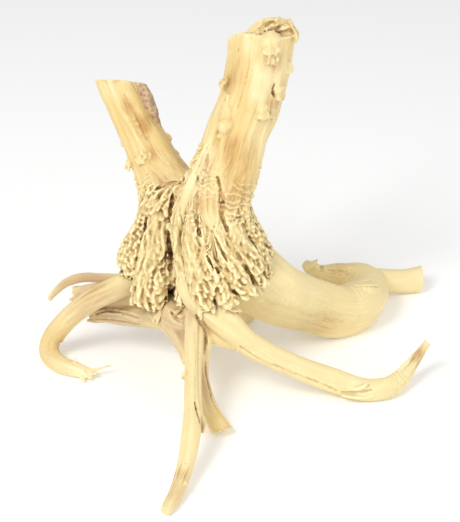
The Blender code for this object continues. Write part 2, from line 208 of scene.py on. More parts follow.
# The strands on the far sides follow a rule. A skirt has points (x, y, z) of its axis from top to bottom,
# how far the strands stand from it, their radii, and the first and last bearing and number of strands.
FAR_SKIRTS = {
    "right_skirt": {
        "axis": [(25, 16, 172), (15, 3, 132), (14, -3, 100), (16, -4, 72)],
        "reach": [16, 17.5, 23, 27],
        "radius": [5, 6, 6.8, 6.2],
        "bearings": (10, 172, 8),
    },
    "left_skirt": {
        "axis": [(-28, 41, 144), (-25, 32, 117), (-29, 19, 91), (-34, 9, 62)],
        "reach": [9, 11, 18.5, 18],
        "radius": [4, 5, 6.4, 6.2],
        "bearings": (28, 178, 5),
    },
}
# How far these strands stray to the side, and up or down at their toes, and how their bearings vary.
STRAND_SWAY = 3.0
STRAND_LENGTH_VARIES = 9.0
STRAND_TURN_VARIES = 0.08
STRAND_TWIST = 0.16
# How far a strand's toe stands out and hangs down past its last point, and its share of the strand's width.
TOE_OUT = 2
TOE_DROP = 7
TOE_WIDTH = 0.65

# Knots on the stems and roots: where, the swelling's radius, how many beads it carries, and a bead's radius.
KNOTS = {
    "top_knot": ((55, 14.6, 256.5), 8.2, 12, 1.6),
    "top_knot_ring": ((56, 13.6, 247), 4.8, 5, 1.2),
    "shoulder_knot": ((68, 26, 236), 3.6, 6, 1.5),
    "ledge_knot": ((62, 17, 220), 4.6, 6, 1.7),
    "middle_knot": ((50, 8.6, 209), 5.6, 9, 1.5),
    "middle_knot_side": ((57, 14, 206), 3.0, 5, 1.4),
    "face_knot": ((23, 3.6, 196), 6.2, 12, 1.6),
    "edge_knot": ((21, 23, 225), 3.0, 4, 1.3),
    "right_edge_beads": ((47, 4, 169), 2.4, 2, 1.2),
    "right_low_beads": ((43, -2, 157), 2.6, 4, 1.1),
    "back_knot": ((44, 58, 214), 5.0, 6, 1.7),
    "left_front_beads": ((-44, 41, 187), 2.4, 4, 1.1),
    "left_band_high": ((-33, 34, 165), 3.4, 9, 1.1),
    "left_band_low": ((-40, 33, 160), 3.4, 8, 1.2),
    "left_bud": ((-55, 50, 167), 2.2, 2, 1.6),
    "left_spur": ((-49, 38, 152), 3.6, 3, 1.5),
    "left_inner_beads": ((-21, 50, 170), 3.2, 8, 1.4),
    "left_inner_low": ((-18, 46, 160), 3.2, 8, 1.4),
    "left_back_beads": ((-40, 66, 176), 3.4, 5, 1.5),
    "front_root_bud": ((-7.6, -81, 45), 1.8, 1, 1.0),
    "front_root_knot": ((-6, -156, 13), 3.0, 1, 1.8),
    "spur_eye": ((113, 95, 25), 6.4, 0, 1.0),
}
# How deep a knot's swelling lies, as a share of its radius.
KNOT_SUNK = 0.5
# How far round a knot its fan of beads reaches to either side of straight down, in radians.
FAN_TURN = 1.3
# How far the fan's three rows lie from the knot's middle, as shares of its radius.
FAN_ROWS = (1.0, 0.66, 0.34)
# The right stem's torn top: how many tufts, round which point, and from how far above they are aimed.
TUFTS = 44
TUFT_MIDDLE = (57.0, 36.0, 257.0)
TUFT_AIM = 8
# Long low ridges and strips laid on the limbs, as routes like theirs.
RIDGES = {
    "face_knot_ridge": [(25, 18, 217, 1.2), (24.4, 16.4, 212, 2.6), (23.8, 13, 206, 4), (23.2, 9, 199, 5)],
    "stem_crest": [(52, 16, 247, 2), (51, 17, 230, 5), (49, 16, 217, 5), (47, 12, 203, 4), (43, 6, 187, 2)],
    "left_brow_ridge": [(23, 18, 214, 1), (16.6, 11, 195, 3.2), (11, 6, 181, 4), (5.4, 2, 168, 4.6),
                        (-0.6, -2, 155, 5.4), (-5.4, -5, 141, 4.6), (-7, -8, 128, 2.6)],
    "foot_ridge": [(15, 8, 188, 1.2), (12.8, -0.5, 172, 3.4), (11, -9.4, 157, 4.8), (11.5, -18, 141, 5.2),
                   (17, -22, 128, 4.4), (23, -25, 116, 1.6)],
    "foot_right_ridge": [(38, 3, 176, 1.2), (37, -4, 160, 3.4), (36, -11, 146, 4), (38, -13, 133, 2.4),
                         (40, -14, 122, 0.8)],
    "ledge_ridge": [(56, 18, 231, 1), (59, 19, 225, 2.4), (63, 22, 220, 2.6)],
    "top_rim": [(36, 46, 247, 2.4), (44, 49, 253, 4), (54, 50, 256, 5.4), (63, 45, 257, 5.6),
                (70, 36, 256, 4.6), (71, 27, 254, 2.8)],
    "top_heap": [(46, 36, 252, 3), (53, 35, 255, 6), (62, 32, 256, 6.4), (68, 28, 254, 4)],
    "left_spur_ridge": [(-44, 46, 164, 4.4), (-46, 42, 156, 4), (-48, 39, 151, 2.6)],
    "hook_ledge": [(-62, 0, 60, 2), (-76, 2, 50, 3.4), (-90, 4, 38, 3.4), (-100, 6, 24, 2.4),
                   (-104, 8, 14, 1)],
    "front_root_rib": [(-4, -40, 55, 2), (-4, -70, 45, 2.6), (-3.4, -100, 32, 2.8), (-4, -130, 18, 2)],
    "spur_beak": [(87, 95, 30, 3), (92, 95, 32, 3.2), (96, 95, 36, 1.4), (97, 95, 38, 0.8)],
    "elbow_knuckle": [(124, 50, 34, 5), (134, 52, 33, 6), (142, 60, 29, 6)],
}
# Splinters and fibres of the torn ends and of the torn top.
SPLINTERS = {
    "hook_long_fibre": [(-89, -17, 6, 2.6), (-82, -19, 6, 2), (-76, -18.5, 6.5, 1.1), (-70, -17, 7.5, 0.75),
                        (-64, -15, 8.5, 0.6)],
    "hook_low_fibre": [(-90, -18, 4, 2.4), (-83, -22.5, 4, 1.8), (-78, -25, 3, 1)],
    "hook_mid_fibre": [(-88, -18, 5, 2.4), (-80, -21.5, 5, 1.6), (-74, -22, 6, 0.8)],
    "hook_tip_tuft": [(-88, -20, 3, 2.2), (-85, -25, 2.4, 1.5), (-84, -28, 2, 0.8)],
    "hook_spike": [(-91, -15, 7, 1.6), (-91.5, -14, 11, 1), (-91, -13, 14, 0.6)],
    "hook_second_spike": [(-96, -13, 6, 1.6), (-97, -12.5, 10, 0.9)],
    "stub_top_jag": [(-84, 38, 43, 2.6), (-91, 40, 43.5, 1.8), (-97, 41, 44, 0.8)],
    "stub_low_jag": [(-84, 40, 35, 3), (-93, 41, 33.5, 2.2), (-100, 41, 32.5, 1)],
    "stub_mid_jag": [(-84, 40, 39, 3), (-93, 42, 38, 2), (-98, 43, 37, 0.8)],
    "low_stub_jag": [(-66, 11, 34, 3), (-76, 13, 31, 2.2), (-84, 14, 30, 0.9)],
    "low_stub_lip": [(-52, 4, 43, 2), (-64, 7, 42, 2.6), (-76, 11, 39.5, 2), (-85, 13, 36.5, 0.8)],
    "bend_splinter": [(114, -52, 12, 1), (120, -53, 13, 1.7), (125, -52.5, 15.5, 1.5), (127, -52, 18, 0.8)],
    "bend_low_splinter": [(108, -53, 7, 0.7), (117, -55.5, 7, 1.4), (126, -55.5, 7, 1.2),
                          (132, -54.5, 8, 0.6)],
    "tip_splinter": [(151, -36, 18, 1), (156, -31.5, 19.5, 1.6), (160, -28, 22, 1.2), (162, -26, 25, 0.6)],
    "tip_second_splinter": [(156, -37, 13, 1), (161, -31.5, 15, 1.3), (166, -26.5, 20, 0.7)],
    "front_tear_lip": [(7.5, -108, 28, 1), (8, -115, 25.5, 1.6), (7.4, -121, 23, 0.8)],
    "top_curl_1": [(58, 30, 259, 1.4), (62, 26, 262.5, 1.2), (66, 27, 263.5, 1), (68, 31, 262, 0.7)],
    "top_curl_2": [(50, 31, 260, 1.4), (54, 27, 263.5, 1.2), (59, 28, 265, 1), (61, 33, 263, 0.7)],
    "top_curl_3": [(64, 36, 258, 1.4), (68, 34, 261.5, 1.1), (71, 30, 260, 0.8), (73, 27, 256, 0.7)],
    "top_curl_4": [(46, 38, 259, 1.2), (50, 42, 262, 1.2), (56, 44, 263, 0.9), (60, 42, 261, 0.6)],
}
# The strip of bark left on the back of the left stem.
BARK_STRIP = [(-47, 66, 210, 6), (-44, 63, 203, 8), (-38, 57, 190, 8.4), (-32, 53, 178, 6.6),
              (-27, 48, 166, 3.6)]

# Saw cuts and breaks: limbs cut, a point on the cut, the way the offcut lies, and how rough the cut is.
CUTS = {
    "right_stem_top": (("right_stem",), (50, 40, 256.4), (0.06, 0.174, 0.983), 1.5),
    "right_stem_left_top": (("right_stem",), (30, 24, 261), (-0.16, 0.49, 0.86), 0.5),
    "left_stem_top": (("left_stem", "bark_strip"), (-58, 62, 207.5), (0.04, 0.5, 0.86), 0.6),
    "spur_end": (("fat_root_spur",), (184, 112, 12), (1.0, 0.12, -0.05), 0.2),
    "second_root_end": (("second_root",), (18.6, -90, 2.6), (0.3, -0.5, -0.8), 1.2),
    "left_stub_end": (("left_stub",), (-95, 41, 38), (-0.95, 0.2, -0.2), 3.2),
    "right_root_end": (("right_root",), (173, -13.6, 30), (0.7, 0.3, 0.65), 1.6),
    "hook_end": (("hook_root",), (-83, -19.6, 5), (0.93, -0.35, 0.0), 3.0),
}
# How far along its limb a cut can reach.
CUT_REACH = 34.0

# Gouges: a route of (x, y, z, half width) on the surface, and how deep it is cut.
GOUGES = {
    "skirt_gap": ([(-15, 20, 146, 1.4), (-17, 14, 130, 2), (-19, 4, 112, 2.2), (-18, -4, 100, 2.6),
                   (-19, -10, 90, 2.6)], 4.5),
    "right_groove": ([(3, -6, 164, 1.2), (1.6, -12, 153, 2.4), (1.4, -17, 143, 2.8), (3, -21, 133, 2.6),
                      (5, -24, 126, 1.6)], 3.2),
    "foot_channel": ([(17.6, -8, 164, 1.2), (19, -13, 152, 2.8), (20, -18, 140, 3),
                      (24, -22, 129, 1.6)], 3.6),
    "brow_hollow": ([(10, 0, 178, 1.4), (7, -6, 168, 2.6), (6, -9, 160, 2)], 2.0),
    "right_groove_hole": ([(3, -23, 131, 1.4), (4, -25, 127, 1.8)], 4.0),
    "long_groove": ([(14, -22, 130, 1), (19, -26, 119, 1.6), (24, -29, 108, 1)], 2.4),
    "burl_hole": ([(10, -30, 112, 1.2), (13, -32, 106, 2.8), (17, -33, 101, 2.2)], 4.5),
    "fork_crevice": ([(-29, 23, 138, 0.9), (-26, 22, 141, 1.6), (-20, 20, 144, 1.9), (-13, 18, 146.5, 1.9),
                      (-8, 14, 148, 1.6)], 4.2),
    "left_hole": ([(-34, 16, 118, 0.9), (-36, 11, 110, 1.6), (-38, 6, 103, 1)], 3.6),
    "left_hollow": ([(-22, -2, 99, 2), (-25, -8, 91, 2.8), (-25, -12, 84, 2.6)], 3.0),
    "web_crevice": ([(-19, -26, 65, 1.2), (-15, -33, 62, 2.2), (-10.5, -41, 58.5, 2), (-8, -50, 55, 1)], 4.0),
    "front_left_crevice": ([(-11, -30, 69, 1.2), (-8, -37, 59, 2.4), (-7, -48, 51, 2.2),
                            (-7, -60, 47, 1)], 2.4),
    "front_right_crevice": ([(4, -31, 64, 1.2), (6, -37, 57, 2.6), (8, -43, 49, 2.4), (8, -52, 44, 1)], 2.6),
    "bend_tear": ([(108, -52, 9, 0.9), (119, -53.5, 9.6, 1.8), (130, -51, 11, 1)], 2.0),
    "front_split": ([(1, -50, 60, 1), (1, -80, 46, 1.2), (1.6, -104, 37, 1.2)], 0.8),
    "front_crevice": ([(1.6, -104, 38, 0.8), (2.6, -111, 34, 1.4), (4.6, -118, 30, 1)], 3.4),
    "ledge_slit": ([(57, 15, 226, 0.9), (56, 14, 222, 1.3), (57, 15, 217, 0.9)], 3.2),
    "right_root_groove": ([(34, -46, 46, 1.4), (48, -49, 38, 2), (66, -52, 30, 2.2), (85, -51, 20, 2.2),
                           (104, -50, 10, 1.6)], 1.6),
    "fat_root_groove": ([(52, -14, 62, 4), (72, -7, 50, 5.5), (92, 6, 36, 5.5), (114, 18, 22, 4)], 0.9),
    "fat_root_fold": ([(118, 53, 41, 1), (126, 50, 40, 1.4), (136, 52, 37, 1.2), (143, 58, 33, 1)], 1.8),
    "elbow_fold": ([(124, 58, 40, 0.9), (132, 59, 39, 1.2), (138, 64, 35, 1)], 1.4),
    "spur_notch": ([(101, 88, 30, 2), (101, 95, 31, 2.4), (101, 102, 30, 2)], 2.6),
    "spur_eye": ([(106, 90, 30, 1.2), (113, 88, 31, 1.6), (120, 90, 29, 1.2)], 1.0),
    "stub_hollow": ([(-76, 9, 38, 1.2), (-68, 8, 42, 1.8), (-58, 4, 44, 2.2), (-44, -2, 42, 1.4)], 3.4),
    "stub_low_crease": ([(-78, 8, 33, 1), (-62, 2, 35, 1.4), (-44, -4, 35, 1)], 1.6),
    "second_root_groove": ([(6, -54, 36, 1), (9, -64, 28, 1.5), (12, -72, 21, 1.1)], 2.4),
    "second_root_side": ([(9, -54, 32, 0.9), (12.5, -66, 24, 1.4), (17, -77, 14, 1)], 2.2),
    "second_root_low": ([(6, -62, 26, 0.9), (9, -71, 19, 1.2), (13, -80, 11, 0.8)], 1.8),
    "stem_check": ([(36, 9, 246, 0.9), (33, 8, 228, 1.1), (30, 6, 212, 0.9)], 0.8),
    "stem_left_check": ([(24, 17, 250, 0.9), (22, 16, 232, 1.2), (19, 14, 216, 1)], 1.2),
    "stem_low_check": ([(12, 2, 196, 1), (6, -2, 180, 1.6), (1, -6, 166, 1.2)], 1.6),
    "left_stem_check": ([(-51, 47, 204, 0.9), (-43, 43, 188, 1.2), (-36, 38, 172, 0.9)], 0.8),
}
# How ragged the gouges' edges are, as a share of their width, and how far from its route a gouge can reach.
GOUGE_RAGGED = 0.3
GOUGE_REACH = 8.0
# Over what lengths a gouge's edge and its depth vary.
GOUGE_EDGE_LENGTH = 2.2
GOUGE_DEPTH_LENGTH = 4.0

# How much the folds waver, and over what length.
FOLD_WAVER = 2.2
FOLD_WAVER_LENGTH = 7.0
# Patches of fine cross folds in the skin: middle, radius, spacing and height.
FOLDS = {
    "right_foot_folds": ((35, -12, 146), 19, 4.4, 1.2),
    "right_rim_folds": ((47, 0, 140), 13, 4.2, 0.9),
    "left_foot_folds": ((9, -11, 161), 13, 4.4, 1.2),
    "burl_brow_folds": ((-3, -13, 136), 13, 4.6, 0.45),
    "elbow_folds": ((128, 50, 38), 14, 3.2, 0.35),
    "bend_folds": ((150, -42, 12), 17, 4.2, 0.5),
    "burl_root_folds": ((64, -6, 66), 18, 4.0, 0.3),
}
# Tints, as a middle, a radius and a strength, each for its own tint. Most rust patches are stains; those
# named for shade are painted shade.
RUST_STAINS_AND_SHADE = {
    "stem_heart": ((31, -5, 180), 15, 0.9),
    "stem_heart_low": ((30, -13, 158), 13, 0.9),
    "groove_heart": ((2, -16, 146), 10, 1.2),
    "groove_foot": ((4, -22, 132), 7, 1.1),
    "foot_channel": ((20, -16, 148), 9, 1.0),
    "brow_hollow": ((8, -5, 170), 8, 0.9),
    "second_root_streaks": ((9, -65, 26), 13, 1.0),
    "web_shade": ((-12, -30, 62), 12, 0.7),
    "front_shade": ((6, -38, 54), 9, 0.8),
    "long_groove_heart": ((20, -26, 116), 9, 0.6),
    "stem_left_dark": ((24, 19, 228), 14, 0.7),
    "knot_shade": ((56, 12, 241), 9, 0.8),
    "knot_side_shade": ((60, 16, 212), 11, 0.7),
    "face_knot_shade": ((26, -2, 188), 7, 0.6),
    "left_brow": ((-48, 43, 196), 6, 0.8),
    "left_heart": ((-37, 41, 182), 9, 1.2),
    "left_low_heart": ((-31, 33, 162), 7, 1.1),
    "left_foot": ((-26, 32, 150), 10, 0.6),
    "hook_back": ((-72, -1, 68), 14, 0.8),
    "hook_bend": ((-108, 4, 12), 20, 0.35),
    "thin_root_patch": ((-90, 54, 46), 12, 1.2),
    "low_stub_back": ((-66, 10, 42), 16, 0.9),
    "tip_heart": ((166, -22, 24), 15, 0.9),
    "front_tear": ((7, -117, 28), 6, 1.3),
    "front_knot_shade": ((-6, -155, 14), 6, 0.8),
    "front_tip": ((-10, -168, 12), 18, 0.5),
    "burl_right_shade": ((50, -12, 120), 14, 0.4),
    "fork_line": ((-18, 20, 144), 9, 1.1),
    "fork_bottom": ((-14, 30, 152), 9, 0.7),
    "stem_side_shade": ((58, 14, 200), 12, 0.5),
    "top_heart": ((62, 34, 258), 12, 0.7),
    "left_stem_low": ((-27, 34, 142), 9, 0.6),
    "spur_bulge": ((116, 93, 28), 10, 0.6),
    "fat_root_low": ((100, 12, 22), 18, 0.5),
    "hook_streak": ((-84, 0, 56), 14, 0.6),
}
HONEY_PATCHES = {
    "left_stem": ((-42, 46, 186), 34, 1.2),
    "left_stem_foot": ((-30, 36, 150), 20, 0.8),
    "right_stem_left": ((28, 18, 232), 24, 1.1),
    "right_stem_middle": ((30, 2, 200), 22, 0.9),
    "right_stem_low": ((30, -8, 170), 26, 1.1),
    "burl_brow": ((-4, -18, 122), 18, 0.5),
    "low_stub": ((-60, 8, 40), 26, 0.7),
    "second_root": ((16, -88, 12), 24, 0.8),
    "hook_bend": ((-112, 4, 24), 30, 0.6),
    "fat_root_side": ((100, 20, 30), 30, 0.3),
}
PINK_PATCHES = {
    "thin_root": ((-80, 54, 46), 44, 1.2),
    "web": ((-16, -22, 56), 20, 0.8),
    "crotch": ((-10, -40, 50), 18, 0.7),
    "low_stub": ((-60, 8, 40), 30, 0.6),
    "hook_start": ((-62, -2, 66), 16, 0.35),
    "front_tip": ((-10, -168, 10), 20, 0.45),
    "second_root": ((6, -66, 26), 22, 0.7),
    "fork": ((-20, 22, 142), 14, 0.6),
    "elbow": ((112, 70, 36), 14, 0.4),
    "stem_knots": ((58, 12, 244), 10, 0.4),
}
# Pale fresh breaks and splinters, and painted highlight on faces and ridges that catch the light, such as the
# stem's face and the spur.
PALE_AND_HIGHLIGHT_PATCHES = {
    "bend_splinters": ((121, -54, 12), 11, 1.4),
    "tip_splinters": ((157, -32, 20), 9, 1.3),
    "spur_end": ((184, 112, 12), 7, 1.3),
    "spur": ((165, 104, 14), 24, 0.6),
    "stem_top": ((36, 16, 255), 9, 0.8),
    "left_top": ((-60, 54, 206), 9, 0.7),
    "stem_face": ((48, 13, 233), 11, 1.0),
    "stem_face_low": ((44, 10, 220), 9, 0.9),
    "stem_right_rim": ((68, 26, 222), 16, 0.5),
    "stem_right_low": ((50, 8, 186), 18, 0.5),
    "left_ridge": ((-2, -3, 162), 16, 0.9),
    "left_ridge_high": ((6, 2, 180), 10, 0.7),
    "right_foot": ((44, 0, 142), 13, 0.8),
    "fat_root_top": ((80, 12, 66), 22, 0.35),
    "left_middle_rope": ((-35, -4, 86), 15, 0.6),
    "burl_middle": ((6, -30, 92), 14, 0.4),
    "front_root_top": ((-2, -46, 66), 16, 0.6),
    "hook_tip": ((-83, -19, 6), 14, 1.4),
    "right_root_tip": ((172, -14, 30), 8, 0.9),
}
# Painted shade: grey-brown patches on sides and undersides that face away from the lamps.
PAINTED_SHADE_PATCHES = {
    "low_stub_side": ((-52, 2, 34), 30, 1.0),
    "web": ((-12, -26, 52), 18, 0.5),
    "second_root_top": ((8, -70, 24), 18, 0.4),
    "stem_right_side": ((66, 26, 212), 20, 0.5),
    "burl_right_low": ((58, -6, 92), 14, 0.5),
    "fat_root_under": ((84, 4, 28), 24, 0.5),
}
TINTS = {
    "rust": RUST_STAINS_AND_SHADE, "honey": HONEY_PATCHES, "pale": PALE_AND_HIGHLIGHT_PATCHES, "grey": PAINTED_SHADE_PATCHES,
    "pink": PINK_PATCHES,
}


# What mixes a lattice cell's three numbers and the seed into one, and stirs it.
CELL_MIX = (73856093, 19349663, 83492791, 374761393)
STIR = 1274126177
# How strong each finer noise is, as a share of the one before.
FINER_SHARE = 0.55


def lattice_noise(points, seed):
    """Smooth noise from -1 to 1 at each point of an array of (x, y, z)."""
    cell = np.floor(points).astype(np.int64)
    inside = points - cell
    ease = inside * inside * (3 - 2 * inside)
    total = np.zeros(len(points))
    for corner in itertools.product((0, 1), repeat=3):
        x, y, z = (cell + corner).T
        mixed = (x * CELL_MIX[0]) ^ (y * CELL_MIX[1]) ^ (z * CELL_MIX[2]) ^ (seed * CELL_MIX[3])
        mixed = ((mixed ^ (mixed >> 13)) * STIR) & 0x7FFFFFFF
        value = ((mixed ^ (mixed >> 16)) & 0xFFFF) / 32767.5 - 1
        total += value * np.prod(np.where(corner, ease, 1 - ease), axis=1)
    return total


def rough_noise(points, seed, octaves=3):
    """Noise with finer noise on it, about -1 to 1."""
    return sum(lattice_noise(points * 2 ** level, seed + level) * FINER_SHARE ** level
               for level in range(octaves))


def ease_between(low, high, values):
    """0 below the low value, 1 above the high one, and smooth between."""
    share = np.clip((values - low) / (high - low), 0, 1)
    return share * share * (3 - 2 * share)


def unit(vectors):
    """Vectors of length 1."""
    return vectors / np.maximum(np.linalg.norm(vectors, axis=-1, keepdims=True), 1e-9)


def smooth_route(points, step):
    """Points of a smooth curve through a route, about one step apart, each with its radius."""
    knots = np.array(points, float)
    knots = np.vstack([2 * knots[0] - knots[1], knots, 2 * knots[-1] - knots[-2]])
    route = []
    for a, b, c, d in zip(knots, knots[1:], knots[2:], knots[3:]):
        pieces = max(1, round(np.linalg.norm(c[:3] - b[:3]) / step))
        t = (np.arange(pieces) / pieces)[:, None]
        route.append(0.5 * (2 * b + (c - a) * t + (2 * a - 5 * b + 4 * c - d) * t ** 2
                            + (3 * b - a - 3 * c + d) * t ** 3))
    return np.vstack([*route, knots[-2:-1]])


# How far apart a limb's centres are, how thin a strand starts, and a way that no limb runs in.
ROUTE_STEP = 1.6
STRAND_START = 0.3
SIDEWAYS = (0.31, 0.87, 0.38)


class Limb:
    """A smooth route with its directions, and its grown length up to each point."""

    def __init__(self, name, kind, points, step=ROUTE_STEP):
        self.name = name
        self.kind = kind
        route = smooth_route(points, step)
        self.centres = route[:, :3]
        self.radii = route[:, 3]
        if kind == "strand":
            thickened = ease_between(0, 0.3, np.linspace(0, 1, len(route)))
            self.radii = self.radii * (STRAND_START + (1 - STRAND_START) * thickened)
        self.along = unit(np.gradient(self.centres, axis=0))
        self.across = np.empty_like(self.along)
        side = np.cross(self.along[0], SIDEWAYS)
        for index, way in enumerate(self.along):
            side = side - way * side.dot(way)
            side /= np.linalg.norm(side)
            self.across[index] = side
        self.beside = np.cross(self.along, self.across)
        steps = np.linalg.norm(np.diff(self.centres, axis=0), axis=1)
        self.lengths = np.concatenate([[0], np.cumsum(steps)])


def far_strands(rng):
    """Routes of the strands on the far sides of the two skirts."""
    routes = {}
    for name, skirt in FAR_SKIRTS.items():
        first, last, count = skirt["bearings"]
        for number, bearing in enumerate(np.linspace(first, last, count)):
            angle = math.radians(bearing) + rng.uniform(-STRAND_TURN_VARIES, STRAND_TURN_VARIES)
            drop = rng.uniform(-1, 1) * STRAND_LENGTH_VARIES
            twist = rng.uniform(-STRAND_TWIST, STRAND_TWIST)
            route = []
            levels = zip(skirt["axis"], skirt["reach"], skirt["radius"])
            for level, (axis, reach, radius) in enumerate(levels):
                share = level / (len(skirt["axis"]) - 1)
                turn = angle + twist * share + rng.uniform(-1, 1) * STRAND_SWAY / reach
                outward = np.array((math.cos(turn), math.sin(turn), 0))
                centre = np.array(axis) + outward * reach + (0, 0, drop * share)
                route.append((*centre, radius * rng.uniform(0.85, 1.1)))
            toe = route[-1][:3] + outward * TOE_OUT - (0, 0, TOE_DROP)
            routes[f"{name}_{number}"] = [*route, (*toe, route[-1][3] * TOE_WIDTH)]
    return routes


# How many runnels ride on a rope, the turn between them, and their radius.
RUNNELS = 3
RUNNEL_TURN = 0.85
RUNNEL_RADIUS = 2.1
# How far a runnel wanders, how much it swells, and how long the finger at its end is.
RUNNEL_WANDER = 0.35
RUNNEL_SWELL = 0.22
RUNNEL_FINGER = 3.5


def skirt_axis(heights, left):
    """Where the axis of the left or the right skirt lies at each height."""
    levels = np.array(FAR_SKIRTS["left_skirt" if left else "right_skirt"]["axis"][::-1], float)
    return np.stack([np.interp(heights, levels[:, 2], levels[:, 0]),
                     np.interp(heights, levels[:, 2], levels[:, 1]), heights], 1)


def runnels_on(rope, rng):
    """Thin wandering strands on the outer face of a rope, each of which ends in a finger of its own."""
    outward = rope.centres - skirt_axis(rope.centres[:, 2], rope.name.startswith("left"))
    outward = unit(outward - (outward * rope.along).sum(1, keepdims=True) * rope.along)
    beside = np.cross(rope.along, outward)
    share = rope.lengths / rope.lengths[-1]
    routes = {}
    for number in range(RUNNELS):
        middle = (number - (RUNNELS - 1) / 2) * RUNNEL_TURN + rng.uniform(-0.2, 0.2)
        wander = RUNNEL_WANDER * np.sin(share * rng.uniform(5, 9) + rng.uniform(0, math.tau))
        turn = (middle + wander)[:, None]
        way = outward * np.cos(turn) + beside * np.sin(turn)
        swell = 1 + RUNNEL_SWELL * np.sin(share * rng.uniform(12, 20) + rng.uniform(0, math.tau))
        radii = RUNNEL_RADIUS * swell * (0.25 + 0.75 * ease_between(0.05, 0.45, share))
        centres = rope.centres + way * (rope.radii * 0.94 - 0.5 * (1 - share))[:, None]
        route = [(*centre, radius) for centre, radius in zip(centres[2::3], radii[2::3])]
        finger = centres[-1] + rope.along[-1] * RUNNEL_FINGER + way[-1] * rng.uniform(0.5, 2.5)
        routes[f"{rope.name}_runnel_{number}"] = [*route, (*finger, RUNNEL_RADIUS * 0.85)]
    return routes


# How uneven every limb is, as a share of its radius, over what length, and how often round the limb.
UNEVEN = 0.055
UNEVEN_LENGTH = 26.0
UNEVEN_ROUND = 1.3
# How much the grain winds round a limb, in radians per mm.
GRAIN_TWIST = 0.004
# Looks of each kind of limb: sides, ridge depth, ridges' width, ridges' length and lobe depth.
LIMB_LOOKS = {
    "stem": (150, 1.3, 5.0, 50.0, 0.035),
    "flare": (72, 0.5, 3.4, 40.0, 0.05),
    "root": (72, 0.30, 3.0, 40.0, 0.055),
    "web": (48, 0.5, 4.0, 24.0, 0.05),
    "strand": (56, 1.3, 3.6, 12.0, 0.1),
    "runnel": (16, 0.25, 2.0, 7.0, 0.06),
    "ridge": (24, 0.25, 2.4, 16.0, 0.04),
    "fork": (24, 0.6, 1.8, 5.0, 0.1),
    "bark": (60, 1.0, 3.2, 6.0, 0.08),
}


# Kinds of limb that make the burl.
BURL_KINDS = ("strand", "runnel", "fork")


class Shells:
    """Closed shells gathered for one mesh."""

    def __init__(self):
        self.points = []
        self.triangles = []
        self.count = 0

    def add(self, points, triangles):
        """Adds closed shells."""
        self.points.append(points)
        self.triangles.append(triangles + self.count)
        self.count += len(points)

    def mesh(self, name):
        """All shells as one mesh."""
        return mesh_from(name, np.vstack(self.points), np.vstack(self.triangles))


def mesh_from(name, points, triangles):
    """A mesh of triangles."""
    mesh = bpy.data.meshes.new(name)
    mesh.vertices.add(len(points))
    mesh.vertices.foreach_set("co", np.ascontiguousarray(points, np.float32).ravel())
    mesh.loops.add(triangles.size)
    mesh.loops.foreach_set("vertex_index", triangles.astype(np.int32).ravel())
    mesh.polygons.add(len(triangles))
    mesh.polygons.foreach_set("loop_start", np.arange(0, triangles.size, 3, dtype=np.int32))
    mesh.update(calc_edges=True)
    return mesh


def tube_triangles(rings, sides):
    """Triangles of a tube whose two end middles are its last two points."""
    ring, side = (grid.ravel() for grid in np.meshgrid(np.arange(rings - 1), np.arange(sides), indexing="ij"))
    near, near_next = ring * sides + side, ring * sides + (side + 1) % sides
    far, far_next = near + sides, near_next + sides
    around = np.arange(sides)
    after = (around + 1) % sides
    start = np.full(sides, rings * sides)
    top = (rings - 1) * sides
    return np.vstack([
        np.stack([near, near_next, far_next], 1), np.stack([near, far_next, far], 1),
        np.stack([start, after, around], 1), np.stack([start + 1, top + around, top + after], 1),
    ])


def cut_off(limb, points, lengths, seed):
    """Moves what lies past a saw cut or a break back onto it, along the limb."""
    for limbs, place, way, roughness in CUTS.values():
        if limb.name not in limbs:
            continue
        way = unit(np.array(way, float))
        nearest = np.linalg.norm(limb.centres - place, axis=1).argmin()
        close = np.abs(lengths - limb.lengths[nearest]) < CUT_REACH
        splinter = rough_noise(points * 0.9, seed + 7, octaves=3) * roughness
        beyond = (points - place) @ way - splinter
        points = points - (np.clip(beyond, 0, None) * close)[:, None] * way
    return points


def limb_shell(limb, seed):
    """A closed tube round a limb, lobed, and ridged along its grain."""
    sides, depth, width, stretch, lobe_depth = LIMB_LOOKS[limb.kind]
    angle = np.arange(sides) * math.tau / sides
    outward = (np.cos(angle)[None, :, None] * limb.across[:, None]
               + np.sin(angle)[None, :, None] * limb.beside[:, None])
    rounds = max(1.0, limb.radii.mean() / width)
    length = limb.lengths[:, None] + 0 * angle
    twist = angle + length * GRAIN_TWIST
    places = np.stack([np.cos(twist) * rounds, np.sin(twist) * rounds, length / stretch], -1)
    ridges = rough_noise(places.reshape(-1, 3), seed).reshape(length.shape)
    lobes = np.sin(3 * angle + seed) + 0.6 * np.sin(5 * angle - 2 * seed + length * 0.02)
    places = np.stack([np.cos(angle) * UNEVEN_ROUND + 0 * length, np.sin(angle) * UNEVEN_ROUND + 0 * length,
                       length / UNEVEN_LENGTH], -1)
    uneven = lattice_noise(places.reshape(-1, 3), seed + 3).reshape(length.shape)
    reach = limb.radii[:, None] * (1 + lobe_depth * lobes + UNEVEN * uneven) + depth * ridges
    points = (limb.centres[:, None] + outward * reach[..., None]).reshape(-1, 3)
    points = np.vstack([points, limb.centres[:1], limb.centres[-1:]])
    points = cut_off(limb, points, np.concatenate([length.ravel(), limb.lengths[[0, -1]]]), seed)
    return points, tube_triangles(len(limb.centres), sides)


# A ball's outline from its lowest point up: heights and widths as shares of its radius.
BALL_OUTLINE = ((-0.98, 0.2), (-0.6, 0.8), (0.0, 1.0), (0.6, 0.8), (0.98, 0.2))


def ball_shell(centre, radius):
    """A closed ball, for a knot's swelling."""
    route = [(*(centre + np.array((0, 0, radius * height))), radius * width)
             for height, width in BALL_OUTLINE]
    return limb_shell(Limb("ball", "web", route, step=radius / 3), 3)


